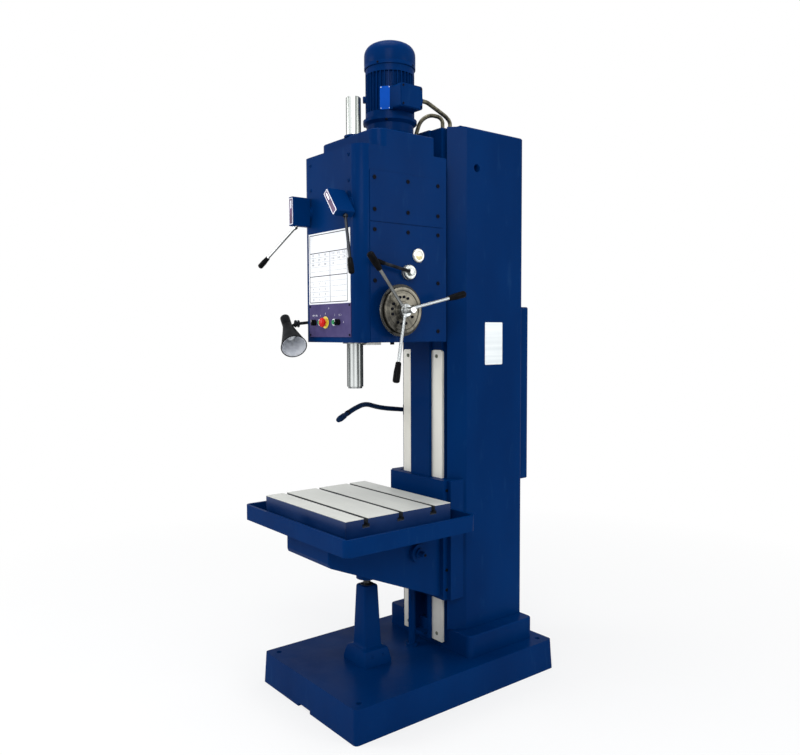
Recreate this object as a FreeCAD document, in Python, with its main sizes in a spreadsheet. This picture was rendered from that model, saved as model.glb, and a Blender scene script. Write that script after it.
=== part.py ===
import FreeCAD, Part
import math
import os
import re
import Sketcher
from FreeCAD import Placement, Rotation, Vector

# A floor-standing vertical drilling machine, in millimetres. X is to the machine's right, Y to the
# rear and Z up. The origin is on the floor, on the mid-plane, under the front face of the column ways.

SIZES = (
    # Clearances that several pieces share
    ("seat_gap", 0.3),
    ("slide_gap", 0.3),
    ("pin_gap", 0.2),
    # How far a cutting outline starts or ends outside the metal
    ("overcut", 1),
    # Base casting
    ("base_width", 656),
    ("base_front", 573),
    ("base_rear", 446),
    ("base_height", 123),
    ("base_draft", 2.8),
    ("base_corner", 16),
    ("base_edge", 6),
    ("seat_width", 518),
    ("seat_front", 26),
    ("seat_height", 90),
    ("seat_corner", 22),
    ("foundation_hole_radius", 11),
    ("foundation_inset", 48),
    ("notch_centre", -11),
    ("notch_width", 82),
    ("notch_height", 12),
    ("notch_depth", 60),
    ("screw_pit_depth", 38),
    # Column
    ("column_width", 388),
    ("column_depth", 390),
    ("column_top", 2218),
    ("column_corner", 14),
    ("column_top_edge", 5),
    ("rib_width", 120),
    ("rib_proud", 12),
    ("way_width", 62),
    ("way_bottom", 155),
    ("way_slot_width", 18),
    ("way_slot_depth", 45),
    ("chamfer_front", 12),
    ("chamfer_rear", 68),
    ("strip_top", 1346),
    ("strip_thickness", 12),
    ("strip_end_radius", 12),
    ("window_centre", -2.5),
    ("window_width", 95),
    ("window_top", 700),
    ("window_depth", 60),
    ("lifting_hole_radius", 16),
    ("lifting_hole_y", 123),
    ("lifting_hole_drop", 154),
    # Plate on top of the column, with the two conduit glands
    ("top_cover_inset", 24),
    ("top_cover_front", 56),
    ("top_cover_thickness", 6),
    ("gland_radius", 13),
    ("gland_length", 12),
    ("upper_gland_x", 80),
    ("upper_gland_y", 82),
    ("lower_gland_x", 35),
    ("lower_gland_y", 82),
    ("head_gland_y", 38),
    # Electrical cabinet behind the column
    ("cabinet_width", 280),
    ("cabinet_depth", 90),
    ("cabinet_bottom", 777),
    ("cabinet_top", 1524),
    ("cabinet_corner", 8),
    ("door_margin", 10),
    ("door_thickness", 3),
    # Drilling head
    ("head_width", 380),
    ("head_front", 402),
    ("head_neck", 36),
    ("head_neck_width", 300),
    ("head_bottom", 1380),
    ("head_rear_top", 2080),
    ("head_ledge_top", 2085),
    ("head_top", 2150),
    ("head_top_front", 368),
    ("head_top_rear", 100),
    ("head_top_corner", 46),
    ("head_edge", 5),
    ("rib_clearance", 4),
    ("front_cover_thickness", 46),
    ("front_cover_corner", 45),
    ("side_cover_thickness", 3),
    ("side_cover_front", 401),
    ("side_cover_rear", 59),
    ("side_cover_split", 1812),
    ("side_cover_joint", 3),
    ("side_cover_top", 1995),
    ("side_cover_bottom", 1382),
    # Motor
    ("motor_y", 161),
    ("flange_radius", 105),
    ("flange_neck_radius", 92),
    ("flange_height", 88),
    ("motor_core_radius", 86),
    ("motor_radius", 95.5),
    ("motor_height", 194),
    ("motor_shield_height", 24),
    ("fin_thickness", 3),
    ("fin_count", 36),
    ("cowl_radius", 100),
    ("cowl_height", 98),
    ("cowl_dome", 34),
    ("terminal_box_depth", 49),
    ("terminal_box_width", 106),
    ("terminal_box_height", 87),
    ("terminal_box_y", 169),
    ("terminal_box_z", 2258),
    ("terminal_box_corner", 9),
    # Spindle line
    ("spindle_reach", 335),
    ("quill_radius", 31.5),
    ("quill_bottom", 1209),
    ("quill_length", 491),
    ("quill_bore_length", 330),
    ("quill_bevel", 1.5),
    ("spindle_radius", 24),
    ("spindle_nose_radius", 27),
    ("spindle_nose_height", 5.7),
    ("spindle_length", 487),
    ("taper_mouth_radius", 15.63),
    ("taper_end_radius", 12.6),
    ("taper_length", 117.5),
    ("guard_radius", 28.5),
    ("guard_length", 150),
    ("guard_bevel", 3),
    # Knee, with its saddle on the ways
    ("knee_width", 300),
    ("knee_front", 560),
    ("knee_top", 671),
    ("knee_nose_height", 81),
    ("knee_nose_chamfer", 9),
    ("knee_nose_drop", 17),
    ("knee_nose_corner", 10),
    ("knee_heel_drop", 311),
    ("saddle_front", 34),
    ("saddle_width", 340),
    ("saddle_bottom", 350),
    ("saddle_top", 830),
    ("cheek_inner", 152),
    ("cheek_outer", 190),
    ("cheek_front", 12),
    ("cheek_gap", 8),
    ("tongue_thickness", 12),
    ("tongue_depth", 40),
    ("screw_boss_radius", 42),
    ("screw_boss_bottom", 453),
    ("pipe_bore_top", 665),
    ("shaft_boss_y", 155),
    ("shaft_boss_z", 562),
    ("shaft_boss_radius", 36),
    ("shaft_boss_length", 18),
    ("shaft_ring_radius", 20),
    ("shaft_ring_length", 8),
    ("shaft_radius", 11),
    ("shaft_length", 34),
    # Trough and table
    ("trough_width", 722),
    ("trough_front", 629),
    ("trough_rear", 36),
    ("trough_height", 60),
    ("trough_wall", 12),
    ("trough_corner", 26),
    ("table_width", 560),
    ("table_front", 575),
    ("table_rear", 95),
    ("table_top", 772),
    ("slot_pitch", 154),
    ("slot_neck_width", 18),
    ("slot_neck_depth", 20),
    ("slot_wide_width", 30),
    ("slot_wide_height", 12),
    # Elevating screw, its pedestal and the drain pipe
    ("screw_y", 286),
    ("screw_radius", 15),
    ("screw_length", 338),
    ("pedestal_foot_width", 150),
    ("pedestal_foot_depth", 130),
    ("pedestal_foot_height", 40),
    ("pedestal_post_width", 86),
    ("pedestal_top", 428),
    ("pedestal_taper", 2.05),
    ("pipe_y", 57),
    ("pipe_radius", 15),
    ("pipe_clearance", 2),
    ("pipe_top", 640),
    ("pipe_flange_radius", 25),
    ("pipe_flange_height", 10),
    # Plates and controls on the front
    ("plate_left", 143),
    ("plate_right", 137),
    ("plate_bottom", 1524),
    ("plate_top", 1793),
    ("plate_thickness", 1.5),
    ("panel_width", 280),
    ("panel_bottom", 1400),
    ("panel_thickness", 3),
    ("control_z", 1455),
    ("left_selector_x", -100),
    ("left_button_x", -61),
    ("emergency_stop_x", -26),
    ("right_button_x", 35),
    ("right_selector_x", 62),
    ("bezel_radius", 12),
    ("bezel_height", 4),
    ("button_radius", 8),
    ("button_proud", 5),
    ("button_stem_length", 18),
    ("selector_stem_length", 23),
    ("control_bore_depth", 24),
    ("control_bevel", 1),
    ("selector_radius", 11),
    ("selector_height", 9),
    ("selector_bar_width", 7),
    ("selector_bar_height", 9),
    ("stem_radius", 5),
    ("stop_ring_radius", 22.5),
    ("stop_ring_height", 2),
    ("stop_head_radius", 18),
    ("stop_head_height", 13),
    ("stop_lift", 9),
    ("stop_shoulder", 4),
    # Right side of the head
    ("feed_y", 290),
    ("feed_z", 1496),
    ("feed_boss_radius", 60),
    ("feed_boss_width", 32),
    ("feed_flange_radius", 95),
    ("feed_flange_width", 8),
    ("feed_flange_bevel", 2),
    ("feed_dial_radius", 84),
    ("feed_dial_width", 10),
    ("feed_dial_dish", 4),
    ("feed_dial_rim", 12),
    ("feed_dial_bevel", 2),
    ("feed_shaft_radius", 15),
    ("feed_shaft_depth", 25),
    ("feed_collar_radius", 24),
    ("feed_collar_width", 20),
    ("feed_hub_land", 6),
    ("feed_hub_radius", 21),
    ("feed_hub_width", 40),
    ("feed_rod_radius", 6),
    ("feed_rod_reach", 270),
    ("feed_rod_angle", 14),
    ("feed_rod_lean", 8),
    ("feed_grip_radius", 13),
    ("feed_grip_length", 75),
    ("sight_y", 181),
    ("sight_z", 1703),
    ("sight_radius", 25),
    ("sight_height", 7),
    ("sight_bevel", 3),
    ("feed_selector_y", 232),
    ("feed_selector_z", 1638),
    ("feed_selector_radius", 27.5),
    ("feed_selector_height", 22),
    ("feed_selector_bevel", 2),
    ("feed_lever_eye_radius", 13),
    ("feed_lever_thickness", 12),
    ("feed_lever_bevel", 3),
    ("feed_lever_pin_radius", 6),
    ("feed_lever_pin_length", 14),
    ("feed_lever_length", 190),
    ("feed_lever_angle", 168.8),
    ("feed_lever_rod_radius", 5),
    ("feed_lever_grip_radius", 9),
    ("feed_lever_grip_length", 61),
    # Speed-change levers on the front
    ("shift_inset", 55),
    ("shift_z", 1875),
    ("shift_boss_radius", 20),
    ("shift_boss_length", 8),
    ("shift_hub_width", 32),
    ("shift_hub_height", 109),
    ("shift_hub_depth", 74),
    ("shift_hub_corner", 5),
    ("shift_shaft_radius", 10),
    ("shift_shaft_length", 30),
    ("left_rod_y", 52),
    ("right_rod_y", 34),
    ("shift_rod_radius", 5.5),
    ("shift_rod_inset", 12),
    ("shift_grip_radius", 9.5),
    ("shift_grip_length", 60),
    ("left_hub_turn", 0),
    ("left_rod_swing", 56.1),
    ("left_rod_lean", 10),
    ("left_rod_length", 258),
    ("right_hub_turn", -37),
    ("right_rod_swing", -23.2),
    ("right_rod_lean", 9.3),
    ("right_rod_length", 235),
    # Work lamp on the left side of the head
    ("lamp_standoff", 19),
    ("lamp_inset", 22),
    ("lamp_z", 1460),
    ("lamp_plate_thickness", 6),
    ("lamp_plate_width", 50),
    ("lamp_plate_height", 60),
    ("lamp_lug_width", 24),
    ("lamp_lug_height", 10),
    ("lamp_pin_radius", 5),
    ("lamp_cap_radius", 8),
    ("lamp_cap_height", 3),
    ("lamp_eye_radius", 11),
    ("lamp_eye_height", 22),
    ("lamp_arm_radius", 6),
    ("lamp_arm_length", 85),
    ("lamp_arm_drop", 8),
    ("lamp_ball_radius", 10),
    ("lamp_shade_yaw", -18.2),
    ("lamp_shade_pitch", 34.1),
    ("lamp_link_out", 20.4),
    ("lamp_link_forward", 29),
    ("lamp_link_drop", 15.1),
    ("lamp_neck_reach", 73),
    ("lamp_shade_length", 203),
    ("lamp_neck_radius", 19),
    ("lamp_neck_length", 62),
    ("lamp_crown_bevel", 6),
    ("lamp_stub_inset", 2),
    ("lamp_mouth_radius", 50),
    ("lamp_wall", 2.5),
    ("lamp_socket_radius", 15),
    ("lamp_socket_length", 40),
    ("lamp_bulb_radius", 24),
    # Coolant pipe and the conduits
    ("coolant_radius", 8),
    ("coolant_nozzle_radius", 10),
    ("coolant_nozzle_length", 40),
    ("coolant_y", 95),
    ("coolant_z", 1076),
    ("coolant_block_width", 34),
    ("coolant_block_height", 44),
    ("coolant_block_depth", 30),
    ("coolant_first_in", 8),
    ("coolant_first_reach", 150),
    ("coolant_first_rise", 18),
    ("coolant_crest_in", 39),
    ("coolant_crest_reach", 258),
    ("coolant_crest_rise", 46),
    ("coolant_last_in", 70),
    ("coolant_last_reach", 340),
    ("coolant_last_rise", 28),
    ("coolant_tip_in", 101),
    ("coolant_tip_reach", 432),
    ("coolant_tip_drop", 6),
    ("conduit_radius", 7.5),
    ("upper_lead", 30),
    ("upper_bend_in", 14),
    ("upper_bend_reach", 92),
    ("upper_bend_drop", 14),
    ("upper_fall_out", 4),
    ("upper_fall_reach", 26),
    ("upper_fall_rise", 40),
    ("upper_drop", 24),
    ("lower_lead", 96),
    ("lower_bend_out", 8),
    ("lower_bend_reach", 24),
    ("lower_bend_rise", 172),
    ("lower_fall_in", 17),
    ("lower_fall_reach", 54),
    ("lower_fall_rise", 58),
    ("lower_drop", 50),
)

doc = FreeCAD.newDocument("DrillingMachine")
sheet = doc.addObject("Spreadsheet::Sheet", "Sizes")
for row, (alias, number) in enumerate(SIZES, start=1):
    sheet.set(f"A{row}", alias)
    sheet.set(f"B{row}", str(number))
    sheet.setAlias(f"B{row}", alias)
doc.recompute()

ALIASES = {alias for alias, number in SIZES}
PARTS = []
X_AXIS = Vector(1, 0, 0)
Y_AXIS = Vector(0, 1, 0)
Z_AXIS = Vector(0, 0, 1)
ALONG = {
    "X": Rotation(Z_AXIS, X_AXIS),
    "-Y": Rotation(Z_AXIS, -Y_AXIS),
    "Z": Rotation(),
}


def formula(text):
    """The expression, with each size's name pointed at its cell of the sheet."""
    def cell(word):
        return "Sizes." + word.group() if word.group() in ALIASES else word.group()
    return re.sub(r"[A-Za-z_]\w*", cell, str(text))


def size(name):
    """A size as a plain number, for the pieces whose place is worked out in code."""
    return float(sheet.get(name))


def bind(item, **fields):
    """Tie properties of an object to formulas of the sheet's sizes."""
    for field, text in fields.items():
        item.setExpression(field, formula(text))


def place(item, x=0, y=0, z=0):
    for name, text in (("x", x), ("y", y), ("z", z)):
        if text != 0:
            item.setExpression("Placement.Base." + name, formula(text))


def part(item, label):
    """Name a finished piece and put it on the list of pieces to write."""
    item.Label = label
    PARTS.append(item)
    return item


def box(length, width, height, x=0, y=0, z=0):
    """A block from its lowest corner."""
    item = doc.addObject("Part::Box", "Block")
    bind(item, Length=length, Width=width, Height=height)
    place(item, x, y, z)
    return item


def rod(radius, length, x=0, y=0, z=0, axis="Z"):
    """A cylinder from the middle of its end, along an axis."""
    item = doc.addObject("Part::Cylinder", "Rod")
    bind(item, Radius=radius, Height=length)
    item.Placement = Placement(Vector(), ALONG[axis])
    place(item, x, y, z)
    return item


def fuse(*items):
    item = doc.addObject("Part::MultiFuse", "Joined")
    item.Shapes = list(items)
    item.Refine = True
    return item


def cut(base, *tools):
    item = doc.addObject("Part::Cut", "Drilled")
    item.Base = base
    item.Tool = tools[0] if len(tools) == 1 else fuse(*tools)
    item.Refine = True
    return item


def new_body():
    item = doc.addObject("PartDesign::Body", "Body")
    item.AllowCompound = True
    return item


def sketch(body, plane, offset=0):
    """A sketch on one of the body's own origin planes, moved along the plane's normal."""
    item = body.newObject("Sketcher::SketchObject", "Sketch")
    item.AttachmentSupport = [(feature, "") for feature in body.Origin.OriginFeatures
                              if feature.Role == plane]
    item.MapMode = "FlatFace"
    if offset != 0:
        item.setExpression("AttachmentOffset.Base.z", formula(offset))
    return item


def polygon(drawing, points):
    """A closed outline, each corner held by its two distances from the sketch's origin."""
    first = drawing.GeometryCount
    count = len(points)
    start = [Vector(100 * math.cos(math.tau * n / count), 100 * math.sin(math.tau * n / count), 0)
             for n in range(count)]
    drawing.addGeometry([Part.LineSegment(start[n], start[(n + 1) % count]) for n in range(count)])
    rules = []
    for n in range(count):
        line = first + n
        rules.append(Sketcher.Constraint("Coincident", line, 2, first + (n + 1) % count, 1))
        rules.append(Sketcher.Constraint("DistanceX", -1, 1, line, 1, start[n].x))
        rules.append(Sketcher.Constraint("DistanceY", -1, 1, line, 1, start[n].y))
    numbers = drawing.addConstraint(rules)
    for n, (across, up) in enumerate(points):
        drawing.setExpression(f"Constraints[{numbers[3 * n + 1]}]", formula(across))
        drawing.setExpression(f"Constraints[{numbers[3 * n + 2]}]", formula(up))


def rectangle(drawing, left, bottom, right, top):
    polygon(drawing, [(left, bottom), (right, bottom), (right, top), (left, top)])


def circle(drawing, across, up, radius):
    line = drawing.addGeometry(Part.Circle(Vector(5, 5, 0), Z_AXIS, 10))
    numbers = drawing.addConstraint([
        Sketcher.Constraint("DistanceX", -1, 1, line, 3, 5),
        Sketcher.Constraint("DistanceY", -1, 1, line, 3, 5),
        Sketcher.Constraint("Radius", line, 10),
    ])
    for number, text in zip(numbers, (across, up, radius)):
        drawing.setExpression(f"Constraints[{number}]", formula(text))


def pad(body, drawing, length, back=False, taper=0):
    """Raise the sketch's outline along its plane's normal, or against it."""
    item = body.newObject("PartDesign::Pad", "Pad")
    item.Profile = drawing
    item.Reversed = back
    bind(item, Length=length)
    if taper != 0:
        bind(item, TaperAngle=taper)
    return item


def pocket(body, drawing, length, back=False):
    """Cut the sketch's outline into the body, against its plane's normal, or along it."""
    doc.recompute()
    before = body.Shape.Volume
    item = body.newObject("PartDesign::Pocket", "Pocket")
    item.Profile = drawing
    item.Reversed = back
    bind(item, Length=length)
    doc.recompute()
    if body.Shape.Volume > before - 1:
        raise RuntimeError(f"a pocket of {length} cuts nothing")
    return item


def edges(item, chosen):
    """The names of the edges for which the test is true."""
    doc.recompute()
    return [f"Edge{n}" for n, edge in enumerate(item.Shape.Edges, start=1) if chosen(edge)]


def dress(body, kind, chosen, amount):
    """Round or bevel the chosen edges of a body."""
    names = edges(body.Tip, chosen)
    if not names:
        raise RuntimeError(f"no edge found for {kind} of {amount}")
    base = body.Tip
    item = body.newObject("PartDesign::" + kind, kind)
    item.Base = (base, names)
    bind(item, **{"Radius" if kind == "Fillet" else "Size": amount})
    return item


def spans(edge, low, high):
    """True for an edge that runs from one height to the other."""
    return abs(edge.BoundBox.ZMin - low) < 0.01 and abs(edge.BoundBox.ZMax - high) < 0.01


def level(edge, height):
    return spans(edge, height, height)


def turned(profile, x=0, y=0, z=0, axis="Z"):
    """A turned piece: its half profile, as radius and distance along the axis, spun right round."""
    body = new_body()
    half = sketch(body, "XZ_Plane")
    polygon(half, profile)
    item = body.newObject("PartDesign::Revolution", "Turning")
    item.Profile = half
    item.ReferenceAxis = (half, ["V_Axis"])
    item.Angle = 360
    body.Placement = Placement(Vector(), ALONG[axis])
    place(body, x, y, z)
    return body


def stepped(*steps):
    """The half profile of a solid of steps, each given as its radius and the height of its top."""
    points = [("0", "0")]
    below = "0"
    for radius, top in steps:
        points.append((radius, below))
        points.append((radius, top))
        below = top
    points.append(("0", below))
    return points


def tube_along(points, radius):
    """A round tube along straight runs, with an arc at each bend as wide as its runs allow."""
    share = 0.45
    path = []
    reached = points[0]
    for before, here, after in zip(points, points[1:], points[2:]):
        inward = (before - here).normalize()
        outward = (after - here).normalize()
        reach = share * min((before - here).Length, (after - here).Length)
        turn = math.pi - inward.getAngle(outward)
        bend = reach / math.tan(turn / 2)
        print(f"tube of radius {radius:.1f}: bend of radius {bend:.0f}")
        entry = here + inward * reach
        leave = here + outward * reach
        centre = here + (inward + outward).normalize() * (bend / math.cos(turn / 2))
        middle = centre + (here - centre).normalize() * bend
        path.append(Part.LineSegment(reached, entry).toShape())
        path.append(Part.Arc(entry, middle, leave).toShape())
        reached = leave
    path.append(Part.LineSegment(reached, points[-1]).toShape())
    spine = Part.Wire(path)
    ring = Part.Wire(Part.makeCircle(radius, points[0], (points[1] - points[0]).normalize()))
    solid = spine.makePipeShell([ring], True, False)
    expected = math.pi * radius ** 2 * spine.Length
    if abs(solid.Volume / expected - 1) > 0.01:
        raise RuntimeError(f"tube of {solid.Volume:.0f} where {expected:.0f} is due")
    return solid


def shaped(solid):
    """A piece whose solid is worked out in code from the sheet's sizes."""
    item = doc.addObject("Part::Feature", "Shaped")
    item.Shape = solid
    return item


def mirrored(half):
    """An outline from its right half, given from one end of the mid-plane to the other."""
    return half + [(f"-({across})", up) for across, up in reversed(half)]


# Lines that several pieces share, as formulas of the sizes
SEAT_TOP = "(base_height + seat_height)"
WAY_INNER = "(rib_width / 2)"
WAY_OUTER = "(rib_width / 2 + way_width)"
SLOT_OUTER = "(rib_width / 2 + way_width + way_slot_width)"
COVER_FACE = "(head_front + front_cover_thickness)"
SIDE_FACE = "(head_width / 2 + side_cover_thickness)"
CONTROL_FACE = "(head_front + front_cover_thickness + panel_thickness)"
SHIFT_X = "(head_width / 2 - shift_inset)"
LAMP_X = "(head_width / 2 + side_cover_thickness + lamp_standoff)"
LAMP_Y = "(head_front - lamp_inset)"
GROOVE_HALF = "(rib_width / 2 + rib_clearance)"
GROOVE_DEPTH = "(rib_proud + rib_clearance)"


# Base casting: a drafted plinth with a raised seat for the column
def base_casting():
    body = new_body()
    floor = sketch(body, "XY_Plane")
    rectangle(floor, "-base_width / 2", "-base_front", "base_width / 2", "base_rear")
    pad(body, floor, "base_height", taper="-base_draft")
    seat = sketch(body, "XY_Plane", "base_height")
    rectangle(seat, "-seat_width / 2", "seat_front", "seat_width / 2", "column_depth")
    pad(body, seat, "seat_height")
    plinth = size("base_height")
    crown = plinth + size("seat_height")
    dress(body, "Fillet", lambda edge: spans(edge, 0, plinth), "base_corner")
    dress(body, "Fillet", lambda edge: spans(edge, plinth, crown), "seat_corner")
    dress(body, "Fillet", lambda edge: level(edge, crown), "base_edge")
    holes = sketch(body, "XY_Plane", "base_height + overcut")
    for side in ("-", ""):
        across = f"{side}(base_width / 2 - foundation_inset)"
        circle(holes, across, "-(base_front - foundation_inset)", "foundation_hole_radius")
        circle(holes, across, "base_rear - foundation_inset", "foundation_hole_radius")
    pocket(body, holes, "base_height + 2 * overcut")
    pit = sketch(body, "XY_Plane", "base_height")
    circle(pit, "0", "-screw_y", "screw_radius + slide_gap")
    pocket(body, pit, "screw_pit_depth")
    notch = sketch(body, "XZ_Plane", "base_front + overcut")
    rectangle(notch, "notch_centre - notch_width / 2", "-overcut",
              "notch_centre + notch_width / 2", "notch_height")
    pocket(body, notch, "notch_depth + overcut")
    part(body, "base_casting")


# Column: a box section with a centre rib, way bands, side slots and chamfered front corners
def column():
    body = new_body()
    plan = sketch(body, "XY_Plane", SEAT_TOP)
    polygon(plan, mirrored([
        ("rib_width / 2", "-rib_proud"),
        ("rib_width / 2", "0"),
        (WAY_OUTER, "0"),
        (WAY_OUTER, "way_slot_depth"),
        (SLOT_OUTER, "way_slot_depth"),
        (SLOT_OUTER, "chamfer_front"),
        ("column_width / 2", "chamfer_rear"),
        ("column_width / 2", "column_depth"),
    ]))
    pad(body, plan, f"column_top - {SEAT_TOP}")
    foot = size("base_height") + size("seat_height")
    head = size("column_top")
    rear = size("column_depth")
    shoulder = size("chamfer_rear")
    dress(body, "Fillet", lambda edge: spans(edge, foot, head) and edge.BoundBox.YMin > rear - 0.01,
          "column_corner")
    dress(body, "Chamfer", lambda edge: level(edge, head) and edge.BoundBox.YMin > shoulder - 0.01,
          "column_top_edge")
    apron = sketch(body, "XY_Plane", "way_bottom")
    polygon(apron, mirrored([
        ("rib_width / 2", "-rib_proud"),
        ("rib_width / 2", "0"),
        (WAY_OUTER, "0"),
        (WAY_OUTER, "seat_front"),
    ]))
    pad(body, apron, f"{SEAT_TOP} - way_bottom")
    beds = sketch(body, "XZ_Plane")
    rectangle(beds, WAY_INNER, "way_bottom - overcut", f"{WAY_OUTER} + overcut", "strip_top")
    rectangle(beds, f"-{WAY_OUTER} - overcut", "way_bottom - overcut", f"-{WAY_INNER}", "strip_top")
    pocket(body, beds, "strip_thickness")
    window = sketch(body, "XZ_Plane", "rib_proud + overcut")
    rectangle(window, "window_centre - window_width / 2", "way_bottom + strip_thickness",
              "window_centre + window_width / 2", "window_top")
    pocket(body, window, "window_depth + overcut")
    lifting = sketch(body, "YZ_Plane", "column_width / 2 + overcut")
    circle(lifting, "lifting_hole_y", "column_top - lifting_hole_drop", "lifting_hole_radius")
    pocket(body, lifting, "column_width + 2 * overcut")
    part(body, "column")


# Hardened strips that line the ways and carry the saddle
def way_strips():
    top = size("strip_top") - size("seat_gap")
    for name, left, right in (
        ("left_way_strip", f"-{WAY_OUTER}", f"-{WAY_INNER} - seat_gap"),
        ("right_way_strip", f"{WAY_INNER} + seat_gap", WAY_OUTER),
    ):
        body = new_body()
        face = sketch(body, "XZ_Plane")
        rectangle(face, left, "way_bottom", right, "strip_top - seat_gap")
        pad(body, face, "strip_thickness", back=True)
        dress(body, "Fillet", lambda edge: level(edge, top) and edge.BoundBox.YLength > 1
              and edge.BoundBox.XLength < 0.01, "strip_end_radius")
        part(body, name)


# Sheet-metal electrical cabinet on the rear of the column, with its door
def electrical_cabinet():
    body = new_body()
    shell = sketch(body, "XZ_Plane", "-column_depth")
    rectangle(shell, "-cabinet_width / 2", "cabinet_bottom", "cabinet_width / 2", "cabinet_top")
    pad(body, shell, "cabinet_depth", back=True)
    dress(body, "Fillet", lambda edge: edge.BoundBox.YLength > 1, "cabinet_corner")
    part(body, "electrical_cabinet")
    body = new_body()
    leaf = sketch(body, "XZ_Plane", "-(column_depth + cabinet_depth)")
    rectangle(leaf, "-(cabinet_width / 2 - door_margin)", "cabinet_bottom + door_margin",
              "cabinet_width / 2 - door_margin", "cabinet_top - door_margin")
    pad(body, leaf, "door_thickness", back=True)
    part(body, "cabinet_door")


# Cover plate on the column's top, with a gland for each conduit
def column_top_cover():
    body = new_body()
    plan = sketch(body, "XY_Plane", "column_top")
    rectangle(plan, "-(column_width / 2 - top_cover_inset)", "top_cover_front",
              "column_width / 2 - top_cover_inset", "column_depth - top_cover_inset")
    pad(body, plan, "top_cover_thickness")
    glands = sketch(body, "XY_Plane", "column_top + top_cover_thickness")
    circle(glands, "upper_gland_x", "upper_gland_y", "gland_radius")
    circle(glands, "lower_gland_x", "lower_gland_y", "gland_radius")
    pad(body, glands, "gland_length")
    part(body, "column_top_cover")


# Head casting: bolted to the ways, stepped top, bored for the quill and the feed shaft
def head_body():
    body = new_body()
    plan = sketch(body, "XY_Plane", "head_bottom")
    polygon(plan, mirrored([
        (GROOVE_HALF, f"-{GROOVE_DEPTH}"),
        (GROOVE_HALF, "0"),
        ("head_neck_width / 2", "0"),
        ("head_neck_width / 2", "-head_neck"),
        ("head_width / 2", "-head_neck"),
        ("head_width / 2", "-head_front"),
    ]))
    pad(body, plan, "head_rear_top - head_bottom")
    ledge = sketch(body, "XY_Plane", "head_rear_top")
    rectangle(ledge, "-head_width / 2", "-head_front", "head_width / 2", "-head_top_rear")
    pad(body, ledge, "head_ledge_top - head_rear_top")
    crown = sketch(body, "XY_Plane", "head_ledge_top")
    rectangle(crown, "-head_width / 2", "-head_top_front", "head_width / 2", "-head_top_rear")
    pad(body, crown, "head_top - head_ledge_top")
    low = size("head_ledge_top")
    high = size("head_top")
    dress(body, "Fillet", lambda edge: spans(edge, low, high), "head_top_corner")
    dress(body, "Fillet", lambda edge: level(edge, high), "head_edge")
    bore = sketch(body, "XY_Plane", "head_bottom - overcut")
    circle(bore, "0", "-spindle_reach", "quill_radius + slide_gap")
    pocket(body, bore, "quill_bore_length + overcut", back=True)
    feed = sketch(body, "YZ_Plane", "head_width / 2 + overcut")
    circle(feed, "-feed_y", "feed_z", "feed_shaft_radius + pin_gap")
    pocket(body, feed, "feed_shaft_depth + 2 * overcut")
    gland = sketch(body, "XY_Plane", "head_rear_top")
    circle(gland, "0", "-head_gland_y", "gland_radius")
    pad(body, gland, "gland_length")
    part(body, "head_body")


# Front cover of the head, with round corners, bosses for the shift levers and holes for the controls
def head_front_cover():
    body = new_body()
    plan = sketch(body, "XY_Plane", "head_bottom")
    rectangle(plan, "-head_width / 2", f"-{COVER_FACE}", "head_width / 2", "-head_front")
    pad(body, plan, "head_ledge_top - head_bottom")
    low = size("head_bottom")
    high = size("head_ledge_top")
    back = -size("head_front")
    dress(body, "Fillet", lambda edge: spans(edge, low, high) and edge.BoundBox.YMax < back - 1,
          "front_cover_corner")
    bosses = sketch(body, "XZ_Plane", f"{COVER_FACE} - shift_boss_length")
    for side in ("-", ""):
        circle(bosses, side + SHIFT_X, "shift_z", "shift_boss_radius")
    pad(body, bosses, "2 * shift_boss_length")
    bores = sketch(body, "XZ_Plane", f"{COVER_FACE} + shift_boss_length + overcut")
    for side in ("-", ""):
        circle(bores, side + SHIFT_X, "shift_z", "shift_shaft_radius + pin_gap")
    pocket(body, bores, "shift_boss_length + shift_shaft_length + 2 * overcut")
    buttons = sketch(body, "XZ_Plane", f"{COVER_FACE} + overcut")
    for across in ("left_button_x", "right_button_x"):
        circle(buttons, across, "control_z", "button_radius + slide_gap")
    for across in ("left_selector_x", "right_selector_x", "emergency_stop_x"):
        circle(buttons, across, "control_z", "stem_radius + pin_gap")
    pocket(body, buttons, "control_bore_depth + overcut")
    part(body, "head_front_cover")


# Screwed side covers of the head: two on the right, and their plain twins on the left as one group
def side_covers():
    upper = ("-side_cover_front", "side_cover_split + side_cover_joint", "-side_cover_rear", "side_cover_top")
    lower = ("-side_cover_front", "side_cover_bottom", "-side_cover_rear", "side_cover_split")
    for name, outline in (("upper_side_cover", upper), ("lower_side_cover", lower)):
        body = new_body()
        face = sketch(body, "YZ_Plane", "head_width / 2")
        rectangle(face, *outline)
        pad(body, face, "side_cover_thickness")
        if outline is lower:
            hole = sketch(body, "YZ_Plane", f"{SIDE_FACE} + overcut")
            circle(hole, "-feed_y", "feed_z", "feed_shaft_radius + pin_gap")
            pocket(body, hole, "side_cover_thickness + 2 * overcut")
        part(body, name)
    body = new_body()
    face = sketch(body, "YZ_Plane", "-head_width / 2")
    rectangle(face, *upper)
    rectangle(face, *lower)
    pad(body, face, "side_cover_thickness", back=True)
    part(body, "left_side_covers")


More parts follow.
